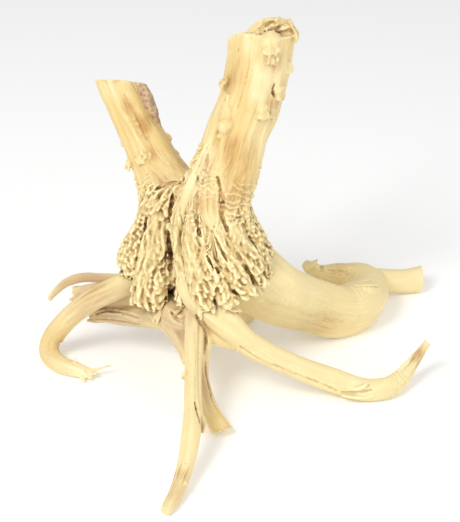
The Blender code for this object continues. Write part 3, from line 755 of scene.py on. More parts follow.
# The nubs' outline, as shares of the way from root to tip and of the nub's radius.
NUB_HEIGHTS = np.array((-0.12, 0.0, 0.18, 0.36, 0.54, 0.72, 0.88, 0.97))
NUB_WIDTHS = np.array((0.4, 0.6, 0.8, 0.9, 0.96, 1.0, 0.86, 0.5))
NUB_SIDES = 8
# A way from which the nubs' sides are counted.
NUB_SIDEWAYS = (0.2, 0.3, 0.93)
# Steps in which a drip follows the surface, how far it bends, and how far from a rope's skin it may grow.
DRIP_STEPS = 6
DRIP_BEND = 1.1
NUB_REACH = 7.5


def nub_shells(bases, ways, radii, lengths, droop):
    """Blunt nubs, each a short finger that leaves its base one way and bends down towards its tip."""
    heights = np.append(NUB_HEIGHTS, (NUB_HEIGHTS[0], 1.0))
    middles = bases[:, None] + ways[:, None] * (lengths[:, None] * heights)[..., None]
    middles[..., 2] -= lengths[:, None] * droop[:, None] * np.clip(heights, 0, 1) ** 2
    return tubes_round(middles, ways, radii)


def tubes_round(middles, ways, radii):
    """Closed tubes with the nubs' outline round lines of middles, of which the last two are the ends."""
    side = unit(np.cross(ways, NUB_SIDEWAYS))
    other = np.cross(ways, side)
    angle = np.arange(NUB_SIDES) * math.tau / NUB_SIDES
    around = np.cos(angle)[None, :, None] * side[:, None] + np.sin(angle)[None, :, None] * other[:, None]
    rings = middles[:, :-2, None] + around[:, None] * (radii[:, None] * NUB_WIDTHS)[..., None, None]
    points = np.concatenate([rings.reshape(len(middles), -1, 3), middles[:, -2:]], axis=1)
    triangles = tube_triangles(len(NUB_HEIGHTS), NUB_SIDES)
    offsets = np.arange(len(middles)) * points.shape[1]
    return points.reshape(-1, 3), (triangles[None] + offsets[:, None, None]).reshape(-1, 3)


def fused(shells, voxel, passes, name):
    """Grows overlapping shells together into one object's mesh, smoothed a little."""
    wood = bpy.data.objects.new(name, shells.mesh(name))
    bpy.context.scene.collection.objects.link(wood)
    join = wood.modifiers.new("join", "REMESH")
    join.mode = "VOXEL"
    join.voxel_size = voxel
    relax = wood.modifiers.new("relax", "SMOOTH")
    relax.factor = 0.5
    relax.iterations = passes
    bake_modifiers(wood)
    return wood


def bake_modifiers(wood):
    """Makes an object's modifiers part of its mesh."""
    graph = bpy.context.evaluated_depsgraph_get()
    baked = bpy.data.meshes.new_from_object(wood.evaluated_get(graph))
    wood.modifiers.clear()
    spare = wood.data
    wood.data = baked
    bpy.data.meshes.remove(spare)


def thin_out(wood, triangles):
    """Thins a mesh to a number of triangles, least where it is most detailed, and drops faces of no area."""
    wood.data.calc_loop_triangles()
    thin = wood.modifiers.new("thin", "DECIMATE")
    thin.ratio = min(1.0, triangles / len(wood.data.loop_triangles))
    bake_modifiers(wood)
    even = wood.modifiers.new("even", "TRIANGULATE")
    even.keep_custom_normals = False
    bake_modifiers(wood)
    wood.data.validate()


def points_of(mesh):
    """The mesh's points as an array."""
    points = np.empty(len(mesh.vertices) * 3, np.float32)
    mesh.vertices.foreach_get("co", points)
    return points.reshape(-1, 3).astype(float)


def normals_of(mesh):
    """The mesh's vertex normals as an array."""
    normals = np.empty(len(mesh.vertices) * 3, np.float32)
    mesh.vertex_normals.foreach_get("vector", normals)
    return normals.reshape(-1, 3).astype(float)


def triangles_of(mesh):
    """The mesh's triangles as an array of point numbers."""
    mesh.calc_loop_triangles()
    triangles = np.empty(len(mesh.loop_triangles) * 3, np.int32)
    mesh.loop_triangles.foreach_get("vertices", triangles)
    return triangles.reshape(-1, 3)


def move_points(mesh, points):
    """Sets where the mesh's points are."""
    mesh.vertices.foreach_set("co", np.ascontiguousarray(points, np.float32).ravel())
    mesh.update()


def surface_of(mesh):
    """A search tree over the mesh's triangles."""
    return BVHTree.FromPolygons(points_of(mesh).tolist(), triangles_of(mesh).tolist())


# How many points are compared with the limbs at once, to spare memory, and with every which centre of a limb.
POINTS_AT_ONCE = 8000
SAMPLE_STEP = 3


class Grain:
    """Finds the limb that each point of the surface belongs to, and the grain's course there."""

    def __init__(self, limbs):
        rows = [(limb, index) for limb in limbs for index in range(0, len(limb.centres), SAMPLE_STEP)]
        self.centres = np.array([limb.centres[index] for limb, index in rows])
        self.radii = np.array([limb.radii[index] for limb, index in rows])
        self.along = np.array([limb.along[index] for limb, index in rows])
        self.across = np.array([limb.across[index] for limb, index in rows])
        self.beside = np.array([limb.beside[index] for limb, index in rows])
        self.lengths = np.array([limb.lengths[index] for limb, index in rows])
        self.shares = np.array([limb.lengths[index] / limb.lengths[-1] for limb, index in rows])
        self.kinds = np.array([limb.kind for limb, _ in rows])
        self.ropy = np.isin(self.kinds, BURL_KINDS)
        self.grainy = np.array([granular(limb.name) for limb, _ in rows])
        self.starts = np.array([drip_start(limb.name) for limb, _ in rows])

    def nearest(self, points):
        """The number of the limb sample whose surface is nearest to each point."""
        return self.nearest_of(points, np.arange(len(self.radii)))[0]

    def nearest_rope(self, points):
        """The same among the burl's ropes only, and how far from each point that sample's surface is."""
        return self.nearest_of(points, np.flatnonzero(self.ropy))

    def nearest_of(self, points, rows):
        """The nearest of some limb samples to each point, and how far from it that sample's surface is."""
        centres, radii = self.centres[rows], self.radii[rows]
        found = np.empty(len(points), int)
        apart = np.empty(len(points))
        for start in range(0, len(points), POINTS_AT_ONCE):
            now = slice(start, start + POINTS_AT_ONCE)
            part = points[now]
            squares = (part ** 2).sum(1)[:, None] + (centres ** 2).sum(1)[None] - 2 * part @ centres.T
            gaps = np.sqrt(np.maximum(squares, 0)) - radii
            found[now] = gaps.argmin(1)
            apart[now] = gaps.min(1)
        return rows[found], apart

    def on_root(self, points):
        """Whether each point is on the skin of a root, a ridge or a flare."""
        return np.isin(self.kinds[self.nearest(points)], ("root", "ridge", "flare"))

    def course(self, points, nearest):
        """Each point in its limb's own axes, so that the last number runs along the grain."""
        offset = points - self.centres[nearest]
        return np.stack([
            (offset * self.across[nearest]).sum(1), (offset * self.beside[nearest]).sum(1),
            (offset * self.along[nearest]).sum(1) + self.lengths[nearest],
        ], 1)


def scatter(points, gaps, rng):
    """Numbers of points picked in random order, each at least its own gap from all those picked before."""
    cell = gaps.max()
    picked = []
    taken = {}
    cells = np.floor(points / cell).astype(int)
    neighbours = list(itertools.product((-1, 0, 1), repeat=3))
    for number in rng.permutation(len(points)):
        home = cells[number]
        near = [other for step in neighbours for other in taken.get(tuple(home + step), ())]
        if near and (((points[near] - points[number]) ** 2).sum(1) < gaps[number] ** 2).any():
            continue
        taken.setdefault(tuple(home), []).append(number)
        picked.append(number)
    return np.array(picked)


# How much thinner than the limbs the burl's filling is, and how high it goes.
FILLING_SUNK = 1.6
FILLING_TOP = 160
# The ropes whose faces are covered with grains and not with runnels.
GRANULAR = ("right_rim_rope", "right_side_rope", "left_clump_rope", "left_outer_rope")
# The smooth ones, with fingers at their lower ends only.
SMOOTH = ("left_middle_rope", "right_edge_rope")


def granular(name):
    """Whether a rope is one of the grainy ones."""
    return name in GRANULAR or "skirt" in name


# The share of a rope's length at which its drips begin to stand out.
GRAINY_START = 0.02
SMOOTH_START = 0.5
RIGHT_START = 0.28
LEFT_START = 0.16


def drip_start(name):
    """Where along a rope that isn't grainy its drips begin."""
    if name.startswith(SMOOTH):
        return SMOOTH_START
    return RIGHT_START if name.startswith("right") else LEFT_START


# How large the patches of big and small nubs are, and over what length drips bend one way.
NUB_PATCH = 8.0
BEND_PATCH = 7.0
# Lengths of grains, of grown drips, and of what new ones have more, as shares of their radii.
GRAIN_LENGTH = 2.4
DRIP_LENGTH = 4.4
NEW_DRIP_LENGTH = 7.0
# How much longer and more raised the fingers at the ropes' toes are.
TOE_LONGER = 0.45
TOE_RAISED = 0.7


def burl_nubs(core, surface, grain, sizes, rng):
    """Closed nubs all over the burl: drips that run down the ropes and end in raised tips, and grains."""
    points, normals = points_of(core), normals_of(core)
    nearest, apart = grain.nearest_rope(points)
    share = grain.shares[nearest]
    grainy = grain.grainy[nearest]
    patchy = rough_noise(points / NUB_PATCH, GROWTH_SEED + SEED_OF["nubs"], octaves=2)
    start = np.where(grainy, GRAINY_START, grain.starts[nearest])
    grown = ease_between(start, start + 0.5, share + 0.12 * patchy)
    wanted = (apart < NUB_REACH) & ~grain.on_root(points) & (normals[:, 2] < 0.9)
    wanted &= rng.random(len(points)) < 1.6 * ease_between(start - 0.25, start + 0.1, share + 0.2 * patchy)
    candidates = np.flatnonzero(wanted)
    big = ease_between(0.1, 0.7, patchy)
    gaps = (sizes.nub_gap * np.where(grainy, 0.9, 0.95 + 0.3 * big + 0.35 * (1 - grown)))[candidates]
    picked = candidates[scatter(points[candidates], gaps, rng)]
    grown, grainy, big = grown[picked], grainy[picked], big[picked]
    radii = sizes.nub_radius * np.where(grainy, 0.8, 0.56 + 0.34 * grown + 0.25 * big)
    radii *= rng.uniform(0.7, 1.25, len(picked))
    lengths = radii * np.where(grainy, GRAIN_LENGTH, DRIP_LENGTH + NEW_DRIP_LENGTH * (1 - grown))
    lengths = lengths * rng.uniform(0.7, 1.35, len(picked))
    flow = grain.along[nearest[picked]] + rng.normal(0, 0.14, (len(picked), 3))
    rise = np.where(grainy, 1.0, 0.05 + 0.95 * grown ** 2) * rng.uniform(0.5, 1.4, len(picked))
    toe = ease_between(0.72, 0.95, share[picked]) * ~grainy
    lengths *= 1 + TOE_LONGER * toe
    rise += TOE_RAISED * toe
    bends = DRIP_BEND * rough_noise(points[picked] / BEND_PATCH, GROWTH_SEED + SEED_OF["bends"], octaves=2)
    return drip_shells(points[picked], flow, radii, lengths, rise, bends, surface)


def drip_shells(points, flow, radii, lengths, rise, bends, surface):
    """Nubs that follow the surface along the flow, each with its tip raised by a share of its radius."""
    middles = np.empty((len(points), DRIP_STEPS + 1, 3))
    for number, (point, way) in enumerate(zip(points, unit(flow))):
        place = Vector(point)
        for step in range(DRIP_STEPS + 1):
            place, normal, *_ = surface.find_nearest(place)
            share = step / DRIP_STEPS
            lift = radii[number] * (-0.8 + 0.6 * min(1.0, share * 3) + (0.2 + rise[number]) * share ** 2)
            middles[number, step] = place + normal * lift
            way_now = Vector(way) - normal * normal.dot(Vector(way)) * (1 - 0.5 * share)
            way_now += normal.cross(way_now) * (bends[number] * share)
            place = place + way_now * (lengths[number] / DRIP_STEPS)
    steps = np.arange(DRIP_STEPS + 1) / DRIP_STEPS
    shares = np.append(NUB_HEIGHTS.clip(0), (0, 1))
    below = np.minimum((shares * DRIP_STEPS).astype(int), DRIP_STEPS - 1)
    between = (shares - steps[below]) * DRIP_STEPS
    line = middles[:, below] * (1 - between)[None, :, None] + middles[:, below + 1] * between[None, :, None]
    return tubes_round(line, unit(middles[:, -1] - middles[:, 0]), radii)


def knot_outward(centre, grain):
    """Which way a knot faces, away from the middle of its limb."""
    return unit(np.array(centre) - grain.centres[grain.nearest(np.array([centre], float))[0]])


def knot_beads(surface, grain, rng):
    """Closed beads on the knots, in fans of three rows that open downward."""
    bases, ways, radii = [], [], []
    for centre, spread, count, radius in KNOTS.values():
        outward = knot_outward(centre, grain)
        down = unit(np.array((0, 0, -1.0)) + outward * outward[2])
        side = np.cross(outward, down)
        for number in range(count):
            row = FAN_ROWS[number % len(FAN_ROWS)]
            turn = ((number + 0.5) / count * 2 - 1) * FAN_TURN + rng.uniform(-0.2, 0.2)
            radial = down * math.cos(turn) + side * math.sin(turn)
            spot = centre + radial * spread * row + outward * spread * 0.6
            point, normal, *_ = surface.find_nearest(Vector(spot))
            size = radius * rng.uniform(0.8, 1.15)
            bases.append(np.array(point) - np.array(normal) * size * 0.6)
            ways.append(unit(radial * 0.5 + np.array(normal) * 0.4 + down * 0.6))
            radii.append(size)
    radii = np.array(radii)
    return nub_shells(np.array(bases), np.array(ways), radii * 0.9, radii * 3.0, np.full(len(radii), 0.2))


def top_tufts(surface, rng):
    """Closed tufts on the torn half of the right stem's top."""
    bases, ways = [], []
    while len(bases) < TUFTS:
        spot = Vector(TUFT_MIDDLE) + Vector((rng.uniform(-15, 15), rng.uniform(-13, 15), TUFT_AIM))
        point, normal, *_ = surface.find_nearest(spot)
        if normal.z > 0.3:
            bases.append(np.array(point) - np.array(normal) * 1.0)
            ways.append(unit(np.array(normal) + rng.normal(0, 0.55, 3)))
    radii = rng.uniform(0.9, 1.6, TUFTS)
    return nub_shells(np.array(bases), np.array(ways), radii, radii * 2.4, np.full(TUFTS, 0.1))


def near_route(points, route, reach):
    """Which points lie near a route, and for each how far from it it is as a share of the route's width."""
    samples = smooth_route(route, 1.0)
    low, high = samples[:, :3].min(0) - reach, samples[:, :3].max(0) + reach
    near = np.flatnonzero(((points > low) & (points < high)).all(1))
    apart = np.linalg.norm(points[near][:, None] - samples[None, :, :3], axis=2) / samples[:, 3]
    return near, apart.min(1)


def carve(mesh, surface):
    """Cuts the gouges into the surface."""
    points, normals = points_of(mesh), normals_of(mesh)
    moves = np.zeros_like(points)
    for route, depth in GOUGES.values():
        laid = [(*surface.find_nearest(Vector(point[:3]))[0], point[3]) for point in route]
        near, apart = near_route(points, laid, GOUGE_REACH)
        here = points[near]
        ragged = rough_noise(here / GOUGE_EDGE_LENGTH, GROWTH_SEED + SEED_OF["gouge_edges"], octaves=2)
        apart = apart * (1 + GOUGE_RAGGED * ragged)
        varied = rough_noise(here / GOUGE_DEPTH_LENGTH, GROWTH_SEED + SEED_OF["gouge_depths"], octaves=2)
        patchy = 0.75 + 0.5 * varied
        share = np.clip(1 - apart ** 2, 0, 1) ** 1.5 * np.clip(patchy, 0.5, 1.2)
        moves[near] -= normals[near] * (share * depth)[:, None]
    move_points(mesh, points + moves)


def fold_skin(mesh, grain):
    """Raises the patches of fine cross folds."""
    points, normals = points_of(mesh), normals_of(mesh)
    for middle, radius, spacing, height in FOLDS.values():
        near = np.flatnonzero(np.linalg.norm(points - middle, axis=1) < radius)
        here = points[near]
        course = grain.course(here, grain.nearest(here))
        fading = 1 - (np.linalg.norm(here - middle, axis=1) / radius) ** 2
        wander = FOLD_WAVER * rough_noise(here / FOLD_WAVER_LENGTH, GROWTH_SEED + SEED_OF["folds"], octaves=2)
        wave = 1 - np.abs(np.sin(course[:, 2] * math.pi / spacing + wander + course[:, 0] * 0.1)) * 1.6
        points[near] += normals[near] * (height * fading * wave)[:, None]
    move_points(mesh, points)


# How far off wood still shades a deep place, and how far off it still shades a fold or a furrow.
DEEP_REACH = 16.0
FURROW_REACH = 5.0
# Rays start a little off the skin, and those that graze it are left out. Wood at the end of the reach still
# takes some of the light.
RAY_LIFT = 0.2
RAY_GRAZE = 0.15
FAR_LIGHT = 0.6


def openness(points, normals, surface, reach, rays):
    """How much of the sky each point sees within reach, from 0 in a deep crevice to 1 in the open."""
    starts = points + normals * RAY_LIFT
    rng = np.random.default_rng(GROWTH_SEED + SEED_OF["rays"])
    total = np.zeros(len(points))
    weight = np.zeros(len(points))
    for direction in unit(rng.normal(size=(rays, 3))):
        facing = normals @ direction
        for number in np.flatnonzero(facing > RAY_GRAZE):
            away = surface.ray_cast(starts[number], direction, reach)[3]
            total[number] += facing[number] * (1.0 if away is None else away / reach * FAR_LIGHT)
            weight[number] += facing[number]
    return total / np.maximum(weight, 1e-6)


def crests(mesh, passes=2):
    """How far each point stands out from its neighbours, above 0 on crests and below 0 in furrows."""
    points, normals = points_of(mesh), normals_of(mesh)
    ends = np.empty(len(mesh.edges) * 2, np.int32)
    mesh.edges.foreach_get("vertices", ends)
    first, second = ends.reshape(-1, 2).T
    count = np.bincount(ends, minlength=len(points)).astype(float)

    def averaged(values):
        """The mean of each point's neighbours."""
        return (np.bincount(first, values[second], len(points))
                + np.bincount(second, values[first], len(points))) / np.maximum(count, 1)

    middles = np.stack([averaged(points[:, axis]) for axis in range(3)], 1)
    stretch = np.linalg.norm(points[first] - points[second], axis=1)
    spacing = (np.bincount(first, stretch, len(points)) + np.bincount(second, stretch, len(points)))
    bend = ((points - middles) * normals).sum(1) / np.maximum(spacing / np.maximum(count, 1), 1e-6)
    for _ in range(passes):
        bend = 0.5 * bend + 0.5 * averaged(bend)
    return bend


# How fine the ragged edges of the tints are, across the grain and along it, and how ragged.
TINT_EDGE = (0.35, 0.35, 0.03)
TINT_RAGGED = 0.45
# A tint's strength in the middle of its patch before clipping, and the most that patches add up to.
TINT_MIDDLE = 1.15
TINT_MOST = 1.3


def spread_over(points, course, patches, seed):
    """How strongly a set of patches tints each point, with edges that run along the grain."""
    ragged = rough_noise(course * TINT_EDGE, seed, octaves=3)
    tint = np.zeros(len(points))
    for middle, radius, strength in patches.values():
        apart = np.linalg.norm(points - middle, axis=1) / radius
        tint += strength * np.clip(TINT_MIDDLE - apart + TINT_RAGGED * ragged, 0, 1)
    return np.clip(tint, 0, TINT_MOST)


def write_attribute(mesh, name, values):
    """Keeps a number, or a vector, for each of the mesh's points."""
    kind = "FLOAT" if values.ndim == 1 else "FLOAT_VECTOR"
    attribute = mesh.attributes.new(name, kind, "POINT")
    attribute.data.foreach_set("value" if kind == "FLOAT" else "vector",
                               np.ascontiguousarray(values, np.float32).ravel())


def all_limbs(rng):
    """Every limb of the wood."""
    routes = {
        "stem": STEMS, "flare": FLARES, "root": ROOTS, "web": WEBS,
        "strand": {**FRONT_STRANDS, **far_strands(rng)}, "ridge": {**RIDGES, **SPLINTERS},
        "fork": FORK_ROPES, "bark": {"bark_strip": BARK_STRIP},
    }
    limbs = [Limb(name, kind, points) for kind, group in routes.items() for name, points in group.items()]
    for rope in [limb for limb in limbs if limb.kind == "strand" and not granular(limb.name)]:
        limbs += [Limb(name, "runnel", points) for name, points in runnels_on(rope, rng).items()]
    return limbs


def grow_pieces(sizes):
    """The wood's two closed pieces, the burl and the limbs that grow out of it."""
    rng = np.random.default_rng(GROWTH_SEED)
    limbs = all_limbs(rng)
    grain = Grain(limbs)
    parts = {"spiderwood_burl": Shells(), "spiderwood_limbs": Shells()}
    core_shells = Shells()
    for number, limb in enumerate(limbs):
        points, triangles = limb_shell(limb, GROWTH_SEED + LIMB_SEED_STEP * number)
        core_shells.add(points, triangles)
        parts["spiderwood_burl" if limb.kind in BURL_KINDS else "spiderwood_limbs"].add(points, triangles)
    for limb in burl_filling():
        parts["spiderwood_burl"].add(*limb_shell(limb, GROWTH_SEED))
    for centre, radius, _, _ in KNOTS.values():
        ball = ball_shell(centre - knot_outward(centre, grain) * radius * KNOT_SUNK, radius)
        core_shells.add(*ball)
        parts["spiderwood_limbs"].add(*ball)
    core = fused(core_shells, sizes.core_voxel, 2, "core")
    surface = surface_of(core.data)
    parts["spiderwood_burl"].add(*burl_nubs(core.data, surface, grain, sizes, rng))
    parts["spiderwood_limbs"].add(*knot_beads(surface, grain, rng))
    parts["spiderwood_limbs"].add(*top_tufts(surface, rng))
    bpy.data.objects.remove(core)
    pieces = [finished_piece(name, shells, surface, grain, sizes) for name, shells in parts.items()]
    surroundings = BVHTree.FromPolygons(*joined([piece.data for piece in pieces]))
    for piece in pieces:
        keep_on_points(piece.data, surroundings, grain, sizes)
        move_points(piece.data, (points_of(piece.data) - PLAN_MIDDLE) * MM)
        piece.data.shade_smooth()
    return pieces


def burl_filling():
    """Plain limbs inside the burl, a little thinner than the stems, so that its ropes enclose no hollow."""
    filling = []
    for name, route in {**STEMS, **WEBS}.items():
        inside = [(x, y, z, radius - FILLING_SUNK) for x, y, z, radius in route if z < FILLING_TOP]
        filling.append(Limb(f"{name}_filling", "web", inside))
    return filling


def finished_piece(name, shells, surface, grain, sizes):
    """One piece grown together, carved and thinned, with nothing below the floor."""
    piece = fused(shells, sizes.skin_voxel, 1, name)
    carve(piece.data, surface)
    fold_skin(piece.data, grain)
    thin_out(piece, sizes.piece_triangles)
    points = points_of(piece.data)
    points[:, 2] = np.maximum(points[:, 2], 0)
    move_points(piece.data, points)
    return piece


def joined(meshes):
    """The points and triangles of several meshes as one."""
    shells = Shells()
    for mesh in meshes:
        shells.add(points_of(mesh), triangles_of(mesh))
    return np.vstack(shells.points).tolist(), np.vstack(shells.triangles).tolist()


# Between these heights the grain's lines grow from faint on the roots to full on the stems.
LINED_FROM = 95
LINED_TO = 150
FAINT_LINES = 0.35


def keep_on_points(mesh, surroundings, grain, sizes):
    """Keeps on each point the grain's course, how deep it lies and how far it stands out, for the painted
    shade and highlight, and its tints.
    """
    points, normals = points_of(mesh), normals_of(mesh)
    nearest = grain.nearest(points)
    course = grain.course(points, nearest)
    rope, apart = grain.nearest_rope(points)
    burl = ease_between(0.0, 0.35, grain.shares[rope]) * ease_between(NUB_REACH, 2.0, apart)
    write_attribute(mesh, "course", course)
    write_attribute(mesh, "burl", burl * ~grain.on_root(points))
    write_attribute(mesh, "open", openness(points, normals, surroundings, DEEP_REACH, sizes.rays))
    write_attribute(mesh, "near", openness(points, normals, surroundings, FURROW_REACH, sizes.rays))
    write_attribute(mesh, "crest", crests(mesh))
    lined = ease_between(LINED_FROM, LINED_TO, points[:, 2])
    write_attribute(mesh, "lined", FAINT_LINES + (1 - FAINT_LINES) * lined)
    write_attribute(mesh, "bark", (grain.kinds[nearest] == "bark").astype(float))
    for number, (name, patches) in enumerate(TINTS.items()):
        seed = GROWTH_SEED + SEED_OF["tints"] + number
        write_attribute(mesh, name, spread_over(points, course, patches, seed))


class NodeTree:
    """Short calls that add nodes to a shader tree and join them."""

    def __init__(self, tree):
        self.tree = tree

    def add(self, kind, inputs=None, **settings):
        """A new node with its settings, and its inputs given as values or as sockets to join."""
        node = self.tree.nodes.new(kind)
        for name, value in settings.items():
            setattr(node, name, value)
        for name, value in (inputs or {}).items():
            socket = node.inputs[name]
            if isinstance(value, bpy.types.NodeSocket):
                self.tree.links.new(value, socket)
            else:
                socket.default_value = value
        return node

    def attribute(self, name, output="Fac"):
        """What is kept on the mesh's points under a name."""
        return self.add("ShaderNodeAttribute", attribute_name=name).outputs[output]

    def math(self, operation, first, second=0.0, clamp=False):
        """A sum, product or other result of two numbers."""
        node = self.add("ShaderNodeMath", {0: first, 1: second}, operation=operation, use_clamp=clamp)
        return node.outputs[0]

    def mix(self, factor, first, second):
        """The first colour, with a share of the second in it."""
        node = self.add("ShaderNodeMix", {0: factor, 6: first, 7: second}, data_type="RGBA")
        return node.outputs[2]

    def between(self, value, low, high):
        """0 below the low value, 1 above the high one, and smooth between."""
        node = self.add("ShaderNodeMapRange", {"Value": value, "From Min": low, "From Max": high},
                        interpolation_type="SMOOTHSTEP")
        return node.outputs["Result"]


def new_group(name, inputs, outputs):
    """A shader node group with named sockets, given as (name, socket type, default), and its two ends."""
    group = bpy.data.node_groups.new(name, "ShaderNodeTree")
    for socket_name, kind, default in inputs:
        socket = group.interface.new_socket(socket_name, in_out="INPUT", socket_type=kind)
        if default is not None:
            socket.default_value = default
    for socket_name, kind in outputs:
        group.interface.new_socket(socket_name, in_out="OUTPUT", socket_type=kind)
    return group, group.nodes.new("NodeGroupInput"), group.nodes.new("NodeGroupOutput")


def grain_group():
    """Streaks and fibres that run along the wood."""
    group, given, result = new_group(
        "wood grain",
        [("Course", "NodeSocketVector", None), ("Width", "NodeSocketFloat", 2.0),
         ("Length", "NodeSocketFloat", 40.0), ("Waver", "NodeSocketFloat", 0.6)],
        [("Streaks", "NodeSocketFloat"), ("Fibres", "NodeSocketFloat")],
    )
    nodes = NodeTree(group)
    across = nodes.math("DIVIDE", 1.0, given.outputs["Width"])
    lengthwise = nodes.math("DIVIDE", 1.0, given.outputs["Length"])
    scale = nodes.add("ShaderNodeCombineXYZ", {"X": across, "Y": across, "Z": lengthwise})
    laid = nodes.add("ShaderNodeVectorMath", {0: given.outputs["Course"], 1: scale.outputs[0]},
                     operation="MULTIPLY")
    streaks = nodes.add("ShaderNodeTexNoise", {
        "Vector": laid.outputs[0], "Scale": 1.0, "Detail": 4.0, "Roughness": 0.6,
        "Distortion": given.outputs["Waver"]})
    finer = nodes.add("ShaderNodeVectorMath", {0: laid.outputs[0], 1: (2.3, 2.3, 2.0)}, operation="MULTIPLY")
    fibres = nodes.add("ShaderNodeTexNoise", {"Vector": finer.outputs[0], "Scale": 1.0, "Detail": 3.0,
                                              "Roughness": 0.65})
    group.links.new(streaks.outputs["Fac"], result.inputs["Streaks"])
    group.links.new(fibres.outputs["Fac"], result.inputs["Fibres"])
    return group


def pore_group():
    """Scattered small dark pores, 1 in a pore and 0 elsewhere."""
    group, given, result = new_group(
        "wood pores",
        [("Course", "NodeSocketVector", None), ("Spacing", "NodeSocketFloat", 5.0),
         ("Size", "NodeSocketFloat", 0.14)],
        [("Pores", "NodeSocketFloat")],
    )
    nodes = NodeTree(group)
    scale = nodes.math("DIVIDE", 1.0, given.outputs["Spacing"])
    cells = nodes.add("ShaderNodeTexVoronoi", {"Vector": given.outputs["Course"], "Scale": scale,
                                               "Randomness": 1.0})
    inner = nodes.math("MULTIPLY", given.outputs["Size"], 0.5)
    edge = nodes.add("ShaderNodeMapRange", {"Value": cells.outputs["Distance"], "From Min": inner,
                                            "From Max": given.outputs["Size"], "To Min": 1.0, "To Max": 0.0})
    patches = nodes.add("ShaderNodeTexNoise", {
        "Vector": given.outputs["Course"], "Scale": 0.06, "Detail": 1.0})
    shown = nodes.math("MULTIPLY", edge.outputs["Result"], nodes.between(patches.outputs["Fac"], 0.45, 0.6))
    group.links.new(shown, result.inputs["Pores"])
    return group


def wrinkle_group():
    """Fine wrinkles of the burl's skin, from 0 in a crease to 1 on a crest."""
    group, given, result = new_group(
        "burl wrinkles",
        [("Course", "NodeSocketVector", None), ("Spacing", "NodeSocketFloat", 2.0)],
        [("Height", "NodeSocketFloat")],
    )
    nodes = NodeTree(group)
    across = nodes.math("DIVIDE", 1.0, given.outputs["Spacing"])
    lengthwise = nodes.math("DIVIDE", 0.45, given.outputs["Spacing"])
    scale = nodes.add("ShaderNodeCombineXYZ", {"X": across, "Y": across, "Z": lengthwise})
    laid = nodes.add("ShaderNodeVectorMath", {0: given.outputs["Course"], 1: scale.outputs[0]},
                     operation="MULTIPLY")
    noise = nodes.add("ShaderNodeTexNoise", {"Vector": laid.outputs[0], "Scale": 1.0, "Detail": 3.0,
                                             "Roughness": 0.6, "Distortion": 0.8})
    group.links.new(nodes.between(noise.outputs["Fac"], 0.36, 0.62), result.inputs["Height"])
    return group


def crevice_group():
    """Paints shade into a colour in furrows and deep places, and paints a highlight on its crests."""
    group, given, result = new_group(
        "crevice shade",
        [("Colour", "NodeSocketColor", None), ("Open", "NodeSocketFloat", 1.0),
         ("Near", "NodeSocketFloat", 1.0), ("Crest", "NodeSocketFloat", 0.0),
         ("Strength", "NodeSocketFloat", 1.0), ("Light", "NodeSocketColor", (1.0, 0.9, 0.58, 1)),
         ("Shade", "NodeSocketColor", (0.34, 0.18, 0.055, 1)),
         ("Deep", "NodeSocketColor", (0.10, 0.045, 0.015, 1))],
        [("Colour", "NodeSocketColor")],
    )
    nodes = NodeTree(group)
    strength = given.outputs["Strength"]
    # Painted highlight on crests and nub tips.
    raised = nodes.math("MULTIPLY", nodes.between(given.outputs["Crest"], 0.0, 0.14), strength, clamp=True)
    lit = nodes.mix(raised, given.outputs["Colour"], given.outputs["Light"])
    # Painted shade in furrows and close folds.
    furrow = nodes.math("SUBTRACT", 1.0, nodes.between(given.outputs["Crest"], -0.14, 0.0))
    hidden = nodes.math("SUBTRACT", 1.0, nodes.between(given.outputs["Near"], 0.5, 1.0))
    depth = nodes.math("MAXIMUM", nodes.math("MULTIPLY", furrow, 0.75), hidden)
    shaded = nodes.mix(nodes.math("MULTIPLY", depth, strength, clamp=True), lit, given.outputs["Shade"])
    # Darker painted shade in deep places.
    far = nodes.math("SUBTRACT", 1.0, nodes.between(given.outputs["Open"], 0.05, 0.45))
    deep = nodes.math("MULTIPLY", far, 0.8)
    darkest = nodes.mix(deep, shaded, given.outputs["Deep"])
    group.links.new(darkest, result.inputs["Colour"])
    return group


def placed(nodes, group, inputs):
    """A node group placed in a material with its own values."""
    return nodes.add("ShaderNodeGroup", inputs, node_tree=group)


# How strongly each effect shows in the wood's colour.
STRENGTHS = {
    "streaks": 0.85, "mottle": 0.35, "lines": 0.42, "honey": 0.85, "rust": 0.8, "pale": 0.8, "pink": 0.75,
    "burl": 0.75, "grey": 0.6, "pores": 0.6,
}
# How strong the painted shade in crevices and the painted highlight on crests are on the stems and roots, and
# what the burl adds to it.
SHADE_STRENGTH = 0.38
BURL_SHADE_STRENGTH = 0.8
# How high the fine relief stands, in metres.
RELIEF_HEIGHT = 0.0008


